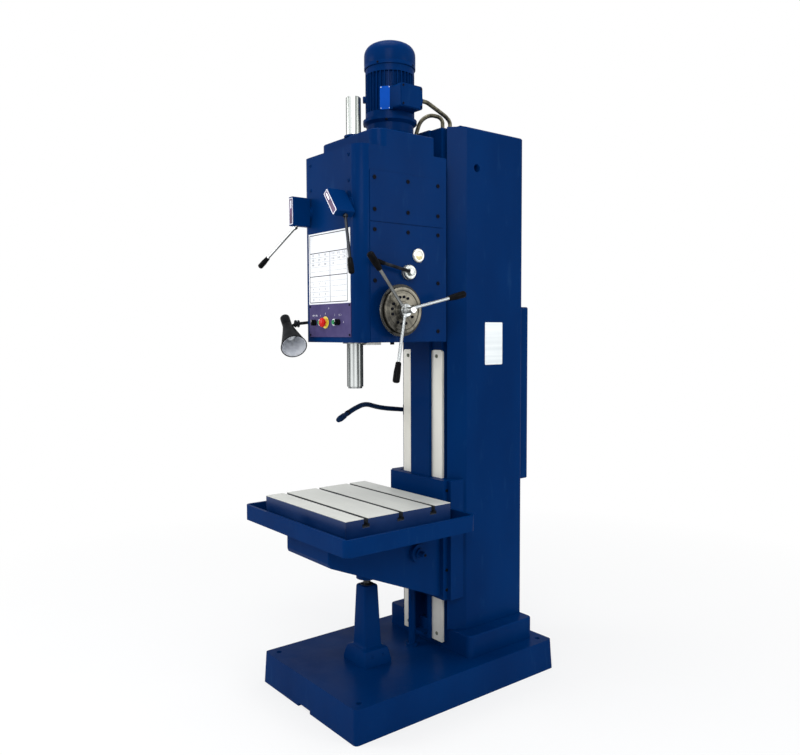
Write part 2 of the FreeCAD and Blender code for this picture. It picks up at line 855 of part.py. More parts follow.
# Flange-mounted motor: adapter, finned frame, fan cowl and terminal box
def motor():
    adapter = turned([
        ("0", "0"),
        ("flange_radius", "0"),
        ("flange_radius", "flange_height / 4"),
        ("flange_neck_radius", "flange_height * 0.4"),
        ("flange_neck_radius", "flange_height * 0.75"),
        ("flange_radius", "flange_height * 0.87"),
        ("flange_radius", "flange_height"),
        ("0", "flange_height"),
    ], y="-motor_y", z="head_top")
    part(adapter, "motor_flange")
    frame = turned([
        ("0", "0"),
        ("motor_radius", "0"),
        ("motor_radius", "motor_shield_height"),
        ("motor_core_radius", "motor_shield_height"),
        ("motor_core_radius", "motor_height - motor_shield_height"),
        ("motor_radius", "motor_height - motor_shield_height"),
        ("motor_radius", "motor_height"),
        ("0", "motor_height"),
    ], y="-motor_y", z="head_top + flange_height")
    root = sketch(frame, "XY_Plane", "motor_shield_height")
    rectangle(root, "motor_core_radius - overcut", "-fin_thickness / 2", "motor_radius", "fin_thickness / 2")
    fin = pad(frame, root, "motor_height - 2 * motor_shield_height")
    fins = frame.newObject("PartDesign::PolarPattern", "Fins")
    fins.Originals = [fin]
    fins.Axis = ([feature for feature in frame.Origin.OriginFeatures if feature.Role == "Z_Axis"][0], [""])
    fins.Angle = 360
    bind(fins, Occurrences="fin_count")
    frame.Tip = fins
    saddle = box("motor_radius / 2", "terminal_box_width", "terminal_box_height",
                 x="motor_radius / 2", y="-terminal_box_y - terminal_box_width / 2", z="terminal_box_z")
    part(fuse(frame, saddle), "motor_body")
    cowl = turned([
        ("0", "0"),
        ("cowl_radius", "0"),
        ("cowl_radius", "cowl_height - cowl_dome"),
        ("cowl_radius - cowl_dome * 0.16", "cowl_height - cowl_dome * 0.45"),
        ("cowl_radius - cowl_dome * 0.6", "cowl_height - cowl_dome * 0.12"),
        ("cowl_radius - cowl_dome * 1.2", "cowl_height"),
        ("0", "cowl_height"),
    ], y="-motor_y", z="head_top + flange_height + motor_height")
    part(cowl, "motor_fan_cowl")
    body = new_body()
    lid = sketch(body, "YZ_Plane", "motor_radius")
    rectangle(lid, "-terminal_box_y - terminal_box_width / 2", "terminal_box_z",
              "-terminal_box_y + terminal_box_width / 2", "terminal_box_z + terminal_box_height")
    pad(body, lid, "terminal_box_depth")
    dress(body, "Fillet", lambda edge: edge.BoundBox.XLength > 1, "terminal_box_corner")
    gland = sketch(body, "XZ_Plane", "terminal_box_y - terminal_box_width / 2")
    circle(gland, "motor_radius + terminal_box_depth / 2", "terminal_box_z + terminal_box_height / 2",
           "gland_radius")
    pad(body, gland, "gland_length", back=True)
    part(body, "motor_terminal_box")


# Flexible conduits from the terminal box and the head to the column's glands
def conduits():
    lift = size("column_top") + size("top_cover_thickness") + size("gland_length")
    start = Vector(size("motor_radius") + size("terminal_box_depth") / 2,
                   size("terminal_box_width") / 2 - size("terminal_box_y") + size("gland_length"),
                   size("terminal_box_z") + size("terminal_box_height") / 2)
    end = Vector(size("upper_gland_x"), size("upper_gland_y"), lift)
    upper = tube_along([
        start,
        start + Vector(0, size("upper_lead"), 0),
        start + Vector(-size("upper_bend_in"), size("upper_bend_reach"), -size("upper_bend_drop")),
        end + Vector(size("upper_fall_out"), -size("upper_fall_reach"), size("upper_fall_rise")),
        end + Vector(0, 0, size("upper_drop")),
        end,
    ], size("conduit_radius"))
    part(shaped(upper), "conduit_upper")
    start = Vector(0, -size("head_gland_y"), size("head_rear_top") + size("gland_length"))
    end = Vector(size("lower_gland_x"), size("lower_gland_y"), lift)
    lower = tube_along([
        start,
        start + Vector(0, 0, size("lower_lead")),
        start + Vector(size("lower_bend_out"), size("lower_bend_reach"), size("lower_bend_rise")),
        end + Vector(-size("lower_fall_in"), -size("lower_fall_reach"), size("lower_fall_rise")),
        end + Vector(0, 0, size("lower_drop")),
        end,
    ], size("conduit_radius"))
    part(shaped(lower), "conduit_lower")


# Spindle line: guard tube over the spindle's top, the quill and the spindle with its taper socket
def spindle_line():
    part(turned([
        ("0", "0"),
        ("guard_radius", "0"),
        ("guard_radius", "guard_length - guard_bevel"),
        ("guard_radius - guard_bevel", "guard_length"),
        ("0", "guard_length"),
    ], y="-spindle_reach", z="head_top"), "spindle_guard_tube")
    bore = "(spindle_radius + slide_gap)"
    part(turned([
        (bore, "0"),
        ("quill_radius - quill_bevel", "0"),
        ("quill_radius", "quill_bevel"),
        ("quill_radius", "quill_length"),
        (bore, "quill_length"),
    ], y="-spindle_reach", z="quill_bottom"), "quill")
    nose = "(spindle_nose_height)"
    part(turned([
        ("taper_mouth_radius", "0"),
        ("spindle_nose_radius", "0"),
        ("spindle_nose_radius", nose),
        ("spindle_radius", nose),
        ("spindle_radius", "spindle_length"),
        ("0", "spindle_length"),
        ("0", "taper_length"),
        ("taper_end_radius", "taper_length"),
    ], y="-spindle_reach", z="quill_bottom - spindle_nose_height - slide_gap"), "spindle")


# Knee casting: drafted arm, saddle slab with cheeks and tongues round the ways, bosses and bores
def knee_casting():
    body = new_body()
    side = sketch(body, "YZ_Plane", "-knee_width / 2")
    polygon(side, [
        ("-knee_front", "knee_top"),
        ("-knee_front", "knee_top - knee_nose_height"),
        ("-knee_front + knee_nose_chamfer", "knee_top - knee_nose_height - knee_nose_drop"),
        ("-saddle_front", "knee_top - knee_heel_drop"),
        ("-saddle_front", "knee_top"),
    ])
    pad(body, side, "knee_width")
    plan = sketch(body, "XY_Plane", "saddle_bottom")
    rise = "(chamfer_rear - chamfer_front) / (column_width / 2 - " + SLOT_OUTER + ")"
    polygon(plan, mirrored([
        (GROOVE_HALF, f"-{GROOVE_DEPTH}"),
        (GROOVE_HALF, "-slide_gap"),
        (f"{WAY_OUTER} + slide_gap", "-slide_gap"),
        (f"{WAY_OUTER} + slide_gap", "tongue_depth"),
        (f"{WAY_OUTER} + slide_gap + tongue_thickness", "tongue_depth"),
        (f"{WAY_OUTER} + slide_gap + tongue_thickness", "-slide_gap"),
        ("cheek_inner", "-slide_gap"),
        ("cheek_inner", f"chamfer_front + (cheek_inner - {SLOT_OUTER}) * {rise} - cheek_gap"),
        ("cheek_outer", f"chamfer_front + (cheek_outer - {SLOT_OUTER}) * {rise} - cheek_gap"),
        ("cheek_outer", "-cheek_front"),
        ("saddle_width / 2", "-cheek_front"),
        ("saddle_width / 2", "-saddle_front"),
    ]))
    pad(body, plan, "saddle_top - saddle_bottom")
    boss = sketch(body, "XY_Plane", "screw_boss_bottom")
    circle(boss, "0", "-screw_y", "screw_boss_radius")
    pad(body, boss, "knee_top - screw_boss_bottom")
    shaft = sketch(body, "YZ_Plane", "knee_width / 2")
    circle(shaft, "-shaft_boss_y", "shaft_boss_z", "shaft_boss_radius")
    pad(body, shaft, "shaft_boss_length")
    bore = sketch(body, "XY_Plane", "saddle_bottom - overcut")
    circle(bore, "0", "-pipe_y", "pipe_radius + pipe_clearance")
    pocket(body, bore, "pipe_bore_top - saddle_bottom + overcut", back=True)
    nose = -size("knee_front")
    nose_drop = size("knee_nose_drop")
    dress(body, "Fillet", lambda edge: edge.BoundBox.YMax < nose + 0.01 and edge.BoundBox.ZLength > nose_drop,
          "knee_nose_corner")
    part(body, "knee_casting")
    steps = stepped(("shaft_ring_radius", "shaft_ring_length"), ("shaft_radius", "shaft_length"))
    shaft = turned(steps, x="knee_width / 2 + shaft_boss_length", y="-shaft_boss_y", z="shaft_boss_z", axis="X")
    part(shaft, "elevating_shaft")


# Coolant trough and the T-slotted table that stands in it
def table():
    body = new_body()
    plan = sketch(body, "XY_Plane", "knee_top")
    rectangle(plan, "-trough_width / 2", "-trough_front", "trough_width / 2", "-trough_rear")
    pad(body, plan, "trough_height")
    low = size("knee_top")
    high = low + size("trough_height")
    dress(body, "Fillet", lambda edge: spans(edge, low, high), "trough_corner")
    inside = sketch(body, "XY_Plane", "knee_top + trough_height + overcut")
    rectangle(inside, "-(trough_width / 2 - trough_wall)", "-(trough_front - trough_wall)",
              "trough_width / 2 - trough_wall", "-(trough_rear + trough_wall)")
    pocket(body, inside, "trough_height - trough_wall + overcut")
    part(body, "coolant_trough")
    body = new_body()
    plan = sketch(body, "XY_Plane", "knee_top + trough_wall")
    rectangle(plan, "-table_width / 2", "-table_front", "table_width / 2", "-table_rear")
    pad(body, plan, "table_top - knee_top - trough_wall")
    slot = sketch(body, "YZ_Plane", "table_width / 2 + overcut")
    middle = "-(spindle_reach + slot_pitch)"
    shelf = "table_top - slot_neck_depth"
    polygon(slot, [
        (f"{middle} - slot_neck_width / 2", "table_top + overcut"),
        (f"{middle} - slot_neck_width / 2", shelf),
        (f"{middle} - slot_wide_width / 2", shelf),
        (f"{middle} - slot_wide_width / 2", f"{shelf} - slot_wide_height"),
        (f"{middle} + slot_wide_width / 2", f"{shelf} - slot_wide_height"),
        (f"{middle} + slot_wide_width / 2", shelf),
        (f"{middle} + slot_neck_width / 2", shelf),
        (f"{middle} + slot_neck_width / 2", "table_top + overcut"),
    ])
    first = pocket(body, slot, "table_width + 2 * overcut")
    slots = body.newObject("PartDesign::LinearPattern", "Slots")
    slots.Originals = [first]
    along_table = [feature for feature in body.Origin.OriginFeatures if feature.Role == "Y_Axis"][0]
    slots.Direction = (along_table, [""])
    slots.Occurrences = 3
    bind(slots, Length="2 * slot_pitch")
    body.Tip = slots
    part(body, "work_table")


# Elevating screw under the knee, the pedestal that holds its nut, and the drain pipe
def supports():
    screw = rod("screw_radius", "screw_length", y="-screw_y", z="screw_boss_bottom - screw_length")
    part(screw, "elevating_screw")
    body = new_body()
    foot = sketch(body, "XY_Plane", "base_height")
    rectangle(foot, "-pedestal_foot_width / 2", "-screw_y - pedestal_foot_depth / 2",
              "pedestal_foot_width / 2", "-screw_y + pedestal_foot_depth / 2")
    pad(body, foot, "pedestal_foot_height")
    post = sketch(body, "XY_Plane", "base_height + pedestal_foot_height")
    rectangle(post, "-pedestal_post_width / 2", "-screw_y - pedestal_post_width / 2",
              "pedestal_post_width / 2", "-screw_y + pedestal_post_width / 2")
    pad(body, post, "pedestal_top - base_height - pedestal_foot_height", taper="-pedestal_taper")
    bore = sketch(body, "XY_Plane", "pedestal_top + overcut")
    circle(bore, "0", "-screw_y", "screw_radius + slide_gap")
    pocket(body, bore, "pedestal_top - base_height + 2 * overcut")
    part(body, "support_pedestal")
    part(turned(stepped(
        ("pipe_flange_radius", "pipe_flange_height"),
        ("pipe_radius", "pipe_top - base_height"),
    ), y="-pipe_y", z="base_height"), "drain_pipe")


# Instruction plate and control panel, with turning selectors, sprung buttons and the emergency stop
def front_controls():
    body = new_body()
    face = sketch(body, "XZ_Plane", COVER_FACE)
    rectangle(face, "-plate_left", "plate_bottom", "plate_right", "plate_top")
    pad(body, face, "plate_thickness")
    part(body, "instruction_plate")
    body = new_body()
    face = sketch(body, "XZ_Plane", COVER_FACE)
    rectangle(face, "-panel_width / 2", "panel_bottom", "panel_width / 2", "plate_bottom")
    pad(body, face, "panel_thickness")
    bezels = sketch(body, "XZ_Plane", CONTROL_FACE)
    for across in ("left_button_x", "right_button_x"):
        circle(bezels, across, "control_z", "bezel_radius")
    pad(body, bezels, "bezel_height")
    holes = sketch(body, "XZ_Plane", f"{CONTROL_FACE} + bezel_height + overcut")
    for across in ("left_button_x", "right_button_x"):
        circle(holes, across, "control_z", "button_radius + slide_gap")
    for across in ("left_selector_x", "right_selector_x", "emergency_stop_x"):
        circle(holes, across, "control_z", "stem_radius + pin_gap")
    pocket(body, holes, "panel_thickness + bezel_height + 2 * overcut")
    part(body, "control_panel")
    for name, across in (("left_green_button", "left_button_x"), ("right_green_button", "right_button_x")):
        reach = "(bezel_height + button_proud)"
        inward = "-(panel_thickness + button_stem_length)"
        part(turned([
            ("0", inward),
            ("button_radius", inward),
            ("button_radius", f"{reach} - control_bevel"),
            ("button_radius - control_bevel", reach),
            ("0", reach),
        ], x=across, y=f"-{CONTROL_FACE}", z="control_z", axis="-Y"), name)
    for side in ("left", "right"):
        name, across = f"{side}_selector_knob", f"{side}_selector_x"
        inward = "-(panel_thickness + selector_stem_length)"
        knob = turned([
            ("0", inward),
            ("stem_radius", inward),
            ("stem_radius", "seat_gap"),
            ("selector_radius", "seat_gap"),
            ("selector_radius", "selector_height - control_bevel"),
            ("selector_radius - control_bevel", "selector_height"),
            ("0", "selector_height"),
        ], x=across, y=f"-{CONTROL_FACE}", z="control_z", axis="-Y")
        bar = box("selector_bar_width", "selector_bar_height + control_bevel", "2 * selector_radius",
                  x=f"{across} - selector_bar_width / 2",
                  y=f"-({CONTROL_FACE} + selector_height + selector_bar_height)",
                  z="control_z - selector_radius")
        part(fuse(knob, bar), name)
    part(turned([
        ("stem_radius + pin_gap", "0"),
        ("stop_ring_radius", "0"),
        ("stop_ring_radius", "stop_ring_height"),
        ("stem_radius + pin_gap", "stop_ring_height"),
    ], x="emergency_stop_x", y=f"-{CONTROL_FACE}", z="control_z", axis="-Y"), "emergency_stop_ring")
    inward = "-(panel_thickness + button_stem_length)"
    crown = "(stop_ring_height + stop_lift + stop_head_height)"
    part(turned([
        ("0", inward),
        ("stem_radius", inward),
        ("stem_radius", "stop_ring_height + stop_lift"),
        ("stop_head_radius", "stop_ring_height + stop_lift"),
        ("stop_head_radius", f"{crown} - stop_head_height / 2"),
        ("stop_head_radius - stop_shoulder", f"{crown} - stop_shoulder / 2"),
        ("stop_head_radius / 2", crown),
        ("0", crown),
    ], x="emergency_stop_x", y=f"-{CONTROL_FACE}", z="control_z", axis="-Y"), "emergency_stop")


# Sight glass, feed selector and the feed wheel on the right side of the head
def side_controls():
    part(turned([
        ("0", "0"),
        ("sight_radius", "0"),
        ("sight_radius", "sight_height - sight_bevel"),
        ("sight_radius - sight_bevel", "sight_height"),
        ("0", "sight_height"),
    ], x=SIDE_FACE, y="-sight_y", z="sight_z", axis="X"), "sight_glass")
    pin_bore = "(feed_lever_pin_radius + pin_gap)"
    pin_floor = "(feed_selector_height - feed_lever_pin_length - overcut)"
    part(turned([
        ("0", "0"),
        ("feed_selector_radius", "0"),
        ("feed_selector_radius", "feed_selector_height - feed_selector_bevel"),
        ("feed_selector_radius - feed_selector_bevel", "feed_selector_height"),
        (pin_bore, "feed_selector_height"),
        (pin_bore, pin_floor),
        ("0", pin_floor),
    ], x=SIDE_FACE, y="-feed_selector_y", z="feed_selector_z", axis="X"), "feed_selector_hub")
    hub_end = f"{SIDE_FACE} + feed_selector_height + seat_gap"
    lever = turned([
        ("0", "-feed_lever_pin_length"),
        ("feed_lever_pin_radius", "-feed_lever_pin_length"),
        ("feed_lever_pin_radius", "0"),
        ("feed_lever_eye_radius", "0"),
        ("feed_lever_eye_radius", "feed_lever_thickness - feed_lever_bevel"),
        ("feed_lever_eye_radius - feed_lever_bevel", "feed_lever_thickness"),
        ("0", "feed_lever_thickness"),
    ])
    arm = sketch(lever, "XZ_Plane")
    circle(arm, "0", "feed_lever_thickness / 2", "feed_lever_rod_radius")
    pad(lever, arm, "feed_lever_length - feed_lever_grip_length", back=True)
    grip_start = "(feed_lever_length - feed_lever_grip_length)"
    grip = new_body()
    half = sketch(grip, "XY_Plane", "feed_lever_thickness / 2")
    polygon(half, [
        ("0", grip_start),
        ("feed_lever_grip_radius * 0.75", grip_start),
        ("feed_lever_grip_radius", f"{grip_start} + feed_lever_grip_length / 4"),
        ("feed_lever_grip_radius", "feed_lever_length - feed_lever_grip_radius / 2"),
        ("feed_lever_grip_radius / 2", "feed_lever_length"),
        ("0", "feed_lever_length"),
    ])
    spin = grip.newObject("PartDesign::Revolution", "Turning")
    spin.Profile = half
    spin.ReferenceAxis = (half, ["V_Axis"])
    spin.Angle = 360
    for item, name in ((lever, "feed_selector_lever"), (grip, "feed_selector_grip")):
        item.Placement = Placement(Vector(), ALONG["X"] * Rotation(Z_AXIS, size("feed_lever_angle")))
        place(item, x=hub_end, y="-feed_selector_y", z="feed_selector_z")
        part(item, name)

    bore = "(feed_shaft_radius + pin_gap)"
    flange_end = "(feed_boss_width + feed_flange_width)"
    part(turned([
        (bore, "0"),
        ("feed_boss_radius", "0"),
        ("feed_boss_radius", "feed_boss_width"),
        ("feed_flange_radius - feed_flange_bevel", "feed_boss_width"),
        ("feed_flange_radius", "feed_boss_width + feed_flange_bevel"),
        ("feed_flange_radius", f"{flange_end} - feed_flange_bevel"),
        ("feed_flange_radius - feed_flange_bevel", flange_end),
        (bore, flange_end),
    ], x=SIDE_FACE, y="-feed_y", z="feed_z", axis="X"), "feed_dial_flange")
    dial_start = f"({SIDE_FACE} + {flange_end} + seat_gap)"
    inner = f"-({dial_start} - head_width / 2 + feed_shaft_depth)"
    sunk = "feed_dial_width - feed_dial_dish"
    part(turned([
        ("0", inner),
        ("feed_shaft_radius", inner),
        ("feed_shaft_radius", "0"),
        ("feed_dial_radius", "0"),
        ("feed_dial_radius", "feed_dial_width - feed_dial_bevel"),
        ("feed_dial_radius - feed_dial_bevel", "feed_dial_width"),
        ("feed_dial_radius - feed_dial_rim", "feed_dial_width"),
        ("feed_dial_radius - feed_dial_rim - feed_dial_bevel", sunk),
        ("feed_collar_radius + feed_hub_land + feed_dial_bevel", sunk),
        ("feed_collar_radius + feed_hub_land", "feed_dial_width"),
        ("0", "feed_dial_width"),
    ], x=dial_start, y="-feed_y", z="feed_z", axis="X"), "feed_dial")
    collar_start = f"({dial_start} + feed_dial_width)"
    part(turned([
        ("0", "0"),
        ("feed_hub_radius", "0"),
        ("feed_hub_radius", "feed_hub_width - feed_dial_bevel"),
        ("feed_hub_radius - feed_dial_bevel", "feed_hub_width"),
        ("0", "feed_hub_width"),
    ], x=f"{collar_start} + feed_collar_width", y="-feed_y", z="feed_z", axis="X"), "feed_hub")
    spider = turned([
        ("0", "0"),
        ("feed_collar_radius", "0"),
        ("feed_collar_radius", "feed_collar_width - feed_dial_bevel"),
        ("feed_collar_radius - feed_dial_bevel", "feed_collar_width"),
        ("0", "feed_collar_width"),
    ])
    lean = Rotation(X_AXIS, size("feed_rod_lean"))
    spoke = sketch(spider, "XZ_Plane")
    spoke.AttachmentOffset = Placement(Vector(), lean)
    spoke.setExpression("AttachmentOffset.Base.y", formula("feed_collar_width / 2"))
    circle(spoke, "0", "0", "feed_rod_radius")
    one_rod = pad(spider, spoke, "feed_rod_reach - feed_grip_length", back=True)
    grips = new_body()
    half = sketch(grips, "XY_Plane", "feed_collar_width / 2")
    half.AttachmentOffset = Placement(Vector(), lean)
    start = "(feed_rod_reach - feed_grip_length)"
    polygon(half, [
        ("0", start),
        ("feed_grip_radius * 0.7", start),
        ("feed_grip_radius * 0.92", f"{start} + feed_grip_length / 5"),
        ("feed_grip_radius", "feed_rod_reach - feed_grip_length / 5"),
        ("feed_grip_radius * 0.6", "feed_rod_reach"),
        ("0", "feed_rod_reach"),
    ])
    one_grip = grips.newObject("PartDesign::Revolution", "Turning")
    one_grip.Profile = half
    one_grip.ReferenceAxis = (half, ["V_Axis"])
    one_grip.Angle = 360
    for item, repeated, name in ((spider, one_rod, "feed_lever_rods"), (grips, one_grip, "feed_lever_grips")):
        ring = item.newObject("PartDesign::PolarPattern", "Ring")
        ring.Originals = [repeated]
        ring.Axis = ([feature for feature in item.Origin.OriginFeatures if feature.Role == "Z_Axis"][0], [""])
        ring.Angle = 360
        ring.Occurrences = 3
        item.Tip = ring
        item.Placement = Placement(Vector(), ALONG["X"] * Rotation(Z_AXIS, size("feed_rod_angle")))
        place(item, x=collar_start, y="-feed_y", z="feed_z")
        part(item, name)


# Speed-change levers: a hub box turning on the front cover, a leaning rod and a grip
def shift_lever(side, sign):
    front = size("head_front") + size("front_cover_thickness") + size("shift_boss_length") + size("seat_gap")
    pivot = Vector(sign * (size("head_width") / 2 - size("shift_inset")), -front, size("shift_z"))
    turn = Rotation(Y_AXIS, size(f"{side}_hub_turn"))
    body = new_body()
    face = sketch(body, "XZ_Plane")
    rectangle(face, "-shift_hub_width / 2", "-shift_hub_height / 2",
              "shift_hub_width / 2", "shift_hub_height / 2")
    pad(body, face, "shift_hub_depth")
    dress(body, "Fillet", lambda edge: edge.BoundBox.YLength > 1, "shift_hub_corner")
    shaft = sketch(body, "XZ_Plane")
    circle(shaft, "0", "0", "shift_shaft_radius")
    pad(body, shaft, "shift_shaft_length", back=True)
    body.Placement = Placement(pivot, turn)
    lean = Rotation(Y_AXIS, size(f"{side}_rod_swing")) * Rotation(X_AXIS, -size(f"{side}_rod_lean"))
    along = lean.multVec(-Z_AXIS)
    aim = Rotation(Z_AXIS, along)
    mouth = pivot + turn.multVec(Vector(0, -size(f"{side}_rod_y"), -size("shift_hub_height") / 2))
    root = mouth - along * size("shift_rod_inset")
    socket = rod("shift_rod_radius + pin_gap", "shift_rod_inset * 4")
    socket.Placement = Placement(root, aim)
    part(cut(body, socket), f"{side}_shift_hub")
    stick = rod("shift_rod_radius", f"{side}_rod_length - shift_grip_length + shift_rod_inset")
    stick.Placement = Placement(root, aim)
    part(stick, f"{side}_shift_rod")
    grip = turned([
        ("0", "0"),
        ("shift_grip_radius * 0.7", "0"),
        ("shift_grip_radius * 0.9", "shift_grip_length / 5"),
        ("shift_grip_radius", "shift_grip_length * 0.8"),
        ("shift_grip_radius * 0.6", "shift_grip_length"),
        ("0", "shift_grip_length"),
    ])
    reach = size(f"{side}_rod_length") - size("shift_grip_length")
    grip.Placement = Placement(mouth + along * reach, aim)
    part(grip, f"{side}_shift_grip")


# Work lamp: bracket on the head's left side, swinging arm with a ball, tilting shade, socket and bulb
def lamp():
    level_z = "(lamp_z - lamp_eye_height / 2)"
    plate = box("lamp_plate_thickness", "lamp_plate_width", "lamp_plate_height",
                x=f"-({SIDE_FACE} + lamp_plate_thickness)", y=f"-({LAMP_Y} + lamp_plate_width / 2)",
                z="lamp_z - lamp_plate_height / 2")
    lug = box(f"{LAMP_X} + lamp_lug_width / 2 - {SIDE_FACE}", "lamp_lug_width", "lamp_lug_height",
              x=f"-({LAMP_X} + lamp_lug_width / 2)", y=f"-({LAMP_Y} + lamp_lug_width / 2)",
              z=f"{level_z} - lamp_lug_height - seat_gap")
    pin = rod("lamp_pin_radius", "lamp_eye_height + lamp_lug_height / 2 + lamp_cap_height + seat_gap",
              x=f"-{LAMP_X}", y=f"-{LAMP_Y}", z=f"{level_z} - lamp_lug_height / 2")
    cap = rod("lamp_cap_radius", "lamp_cap_height",
              x=f"-{LAMP_X}", y=f"-{LAMP_Y}", z="lamp_z + lamp_eye_height / 2 + seat_gap")
    part(fuse(plate, lug, pin, cap), "lamp_bracket")

    pivot = Vector(-size("head_width") / 2 - size("side_cover_thickness") - size("lamp_standoff"),
                   size("lamp_inset") - size("head_front"), size("lamp_z"))
    knuckle = pivot + Vector(0, -size("lamp_arm_length"), -size("lamp_arm_drop"))
    along = (knuckle - pivot).normalize()
    eye = rod("lamp_eye_radius", "lamp_eye_height", x=f"-{LAMP_X}", y=f"-{LAMP_Y}", z=level_z)
    arm = doc.addObject("Part::Cylinder", "Arm")
    bind(arm, Radius="lamp_arm_radius")
    arm.Height = (knuckle - pivot).Length
    arm.Placement = Placement(pivot, Rotation(Z_AXIS, along))
    ball = doc.addObject("Part::Sphere", "Ball")
    bind(ball, Radius="lamp_ball_radius")
    ball.Placement = Placement(knuckle, Rotation())
    eye_bore = rod("lamp_pin_radius + pin_gap", "lamp_eye_height + 2 * overcut",
                   x=f"-{LAMP_X}", y=f"-{LAMP_Y}", z=f"{level_z} - overcut")
    part(cut(fuse(eye, arm, ball), eye_bore), "lamp_arm")

    yaw = math.radians(size("lamp_shade_yaw"))
    pitch = math.radians(size("lamp_shade_pitch"))
    aim = Vector(math.cos(pitch) * math.cos(yaw), math.cos(pitch) * math.sin(yaw), -math.sin(pitch))
    link = Vector(-size("lamp_link_out"), -size("lamp_link_forward"), -size("lamp_link_drop"))
    crown = knuckle + link - aim * size("lamp_neck_reach")
    held = Placement(crown, Rotation(Z_AXIS, aim))
    neck = "lamp_neck_radius"
    flare = "(lamp_mouth_radius - lamp_neck_radius)"
    bell = "(lamp_shade_length - lamp_neck_length)"
    shell = [
        (neck, "lamp_neck_length"),
        (f"{neck} + {flare} * 0.16", f"lamp_neck_length + {bell} * 0.2"),
        (f"{neck} + {flare} * 0.52", f"lamp_neck_length + {bell} * 0.55"),
        ("lamp_mouth_radius", "lamp_shade_length"),
    ]
    shade = turned([("0", "0"), (f"{neck} - lamp_crown_bevel", "0"), (neck, "lamp_crown_bevel")] + shell
                   + [(f"{radius} - lamp_wall", up) for radius, up in reversed(shell)]
                   + [(f"{neck} - lamp_wall", "lamp_wall"), ("0", "lamp_wall")])
    shade.Placement = held
    stub = doc.addObject("Part::Cylinder", "Stub")
    bind(stub, Radius="lamp_arm_radius")
    reach = link.Length
    toward = link / reach
    from_ball = size("lamp_ball_radius") + size("seat_gap")
    stub.Height = reach - from_ball - size("lamp_neck_radius") + size("lamp_stub_inset")
    stub.Placement = Placement(knuckle + toward * from_ball, Rotation(Z_AXIS, toward))
    part(fuse(shade, stub), "lamp_shade")
    socket = turned(stepped(("lamp_socket_radius", "lamp_socket_length")))
    socket.Placement = Placement(crown + aim * (size("lamp_wall") + size("seat_gap")), Rotation(Z_AXIS, aim))
    part(socket, "lamp_socket")
    bulb_start = size("lamp_wall") + size("seat_gap") + size("lamp_socket_length")
    bulb = turned([
        ("0", "0"),
        ("lamp_bulb_radius * 0.55", "0"),
        ("lamp_bulb_radius * 0.6", "lamp_bulb_radius * 1.4"),
        ("lamp_bulb_radius", "lamp_bulb_radius * 2.9"),
        ("lamp_bulb_radius", "lamp_bulb_radius * 3.4"),
        ("lamp_bulb_radius * 0.6", "lamp_bulb_radius * 4.1"),
        ("0", "lamp_bulb_radius * 4.3"),
    ])
    bulb.Placement = Placement(crown + aim * bulb_start, Rotation(Z_AXIS, aim))
    part(bulb, "lamp_bulb")


# Coolant pipe: a bent tube from a block on the column's left side to its nozzle over the table
def coolant():
    side = -size("column_width") / 2
    depth = size("coolant_block_depth")
    front = size("coolant_y") - depth / 2
    middle = side - size("coolant_block_width") / 2
    start = Vector(middle, front + depth / 3, size("coolant_z"))
    tip = start + Vector(size("coolant_tip_in"), -size("coolant_tip_reach"), -size("coolant_tip_drop"))
    path = [start]
    for bend in ("first", "crest", "last"):
        path.append(start + Vector(size(f"coolant_{bend}_in"), -size(f"coolant_{bend}_reach"),
                                   size(f"coolant_{bend}_rise")))
    before = path[-1]
    along = (tip - before).normalize()
    nozzle_start = tip - along * size("coolant_nozzle_length")
    part(shaped(tube_along(path + [nozzle_start], size("coolant_radius"))), "coolant_pipe")
    nozzle = turned([
        ("0", "0"),
        ("coolant_nozzle_radius", "0"),
        ("coolant_nozzle_radius", "coolant_nozzle_length * 0.6"),
        ("coolant_radius * 0.85", "coolant_nozzle_length"),
        ("0", "coolant_nozzle_length"),
    ])
    nozzle.Placement = Placement(nozzle_start, Rotation(Z_AXIS, along))
    part(nozzle, "coolant_nozzle")
    block = box("coolant_block_width", "coolant_block_depth", "coolant_block_height",
                x="-(column_width / 2 + coolant_block_width)", y="coolant_y - coolant_block_depth / 2",
                z="coolant_z - coolant_block_height / 2")
    bore = rod("coolant_radius + seat_gap", "coolant_block_depth")
    bore.Placement = Placement(start, Rotation(Z_AXIS, (path[1] - start).normalize()))
    part(cut(block, bore), "coolant_pipe_block")


base_casting()
column()
way_strips()
electrical_cabinet()
column_top_cover()
head_body()
head_front_cover()
side_covers()
motor()
conduits()
spindle_line()
knee_casting()
table()
supports()
front_controls()
side_controls()
shift_lever("left", -1)
shift_lever("right", 1)
lamp()
coolant()
doc.recompute()

faults = [f"{item.Label}: {item.State}" for item in doc.Objects if {"Invalid", "Error"} & set(item.State)]
for item in PARTS:
    if item.Shape.isNull() or not item.Shape.isValid() or not item.Shape.Solids:
        faults.append(f"{item.Label}: no valid solid")
if faults:
    raise RuntimeError("; ".join(faults))

os.makedirs("parts", exist_ok=True)
for item in PARTS:
    item.Shape.exportStep(f"parts/{item.Label}.step")
print(f"{len(PARTS)} pieces written")
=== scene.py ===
import math

import bmesh
import bpy
from mathutils import Matrix, Vector


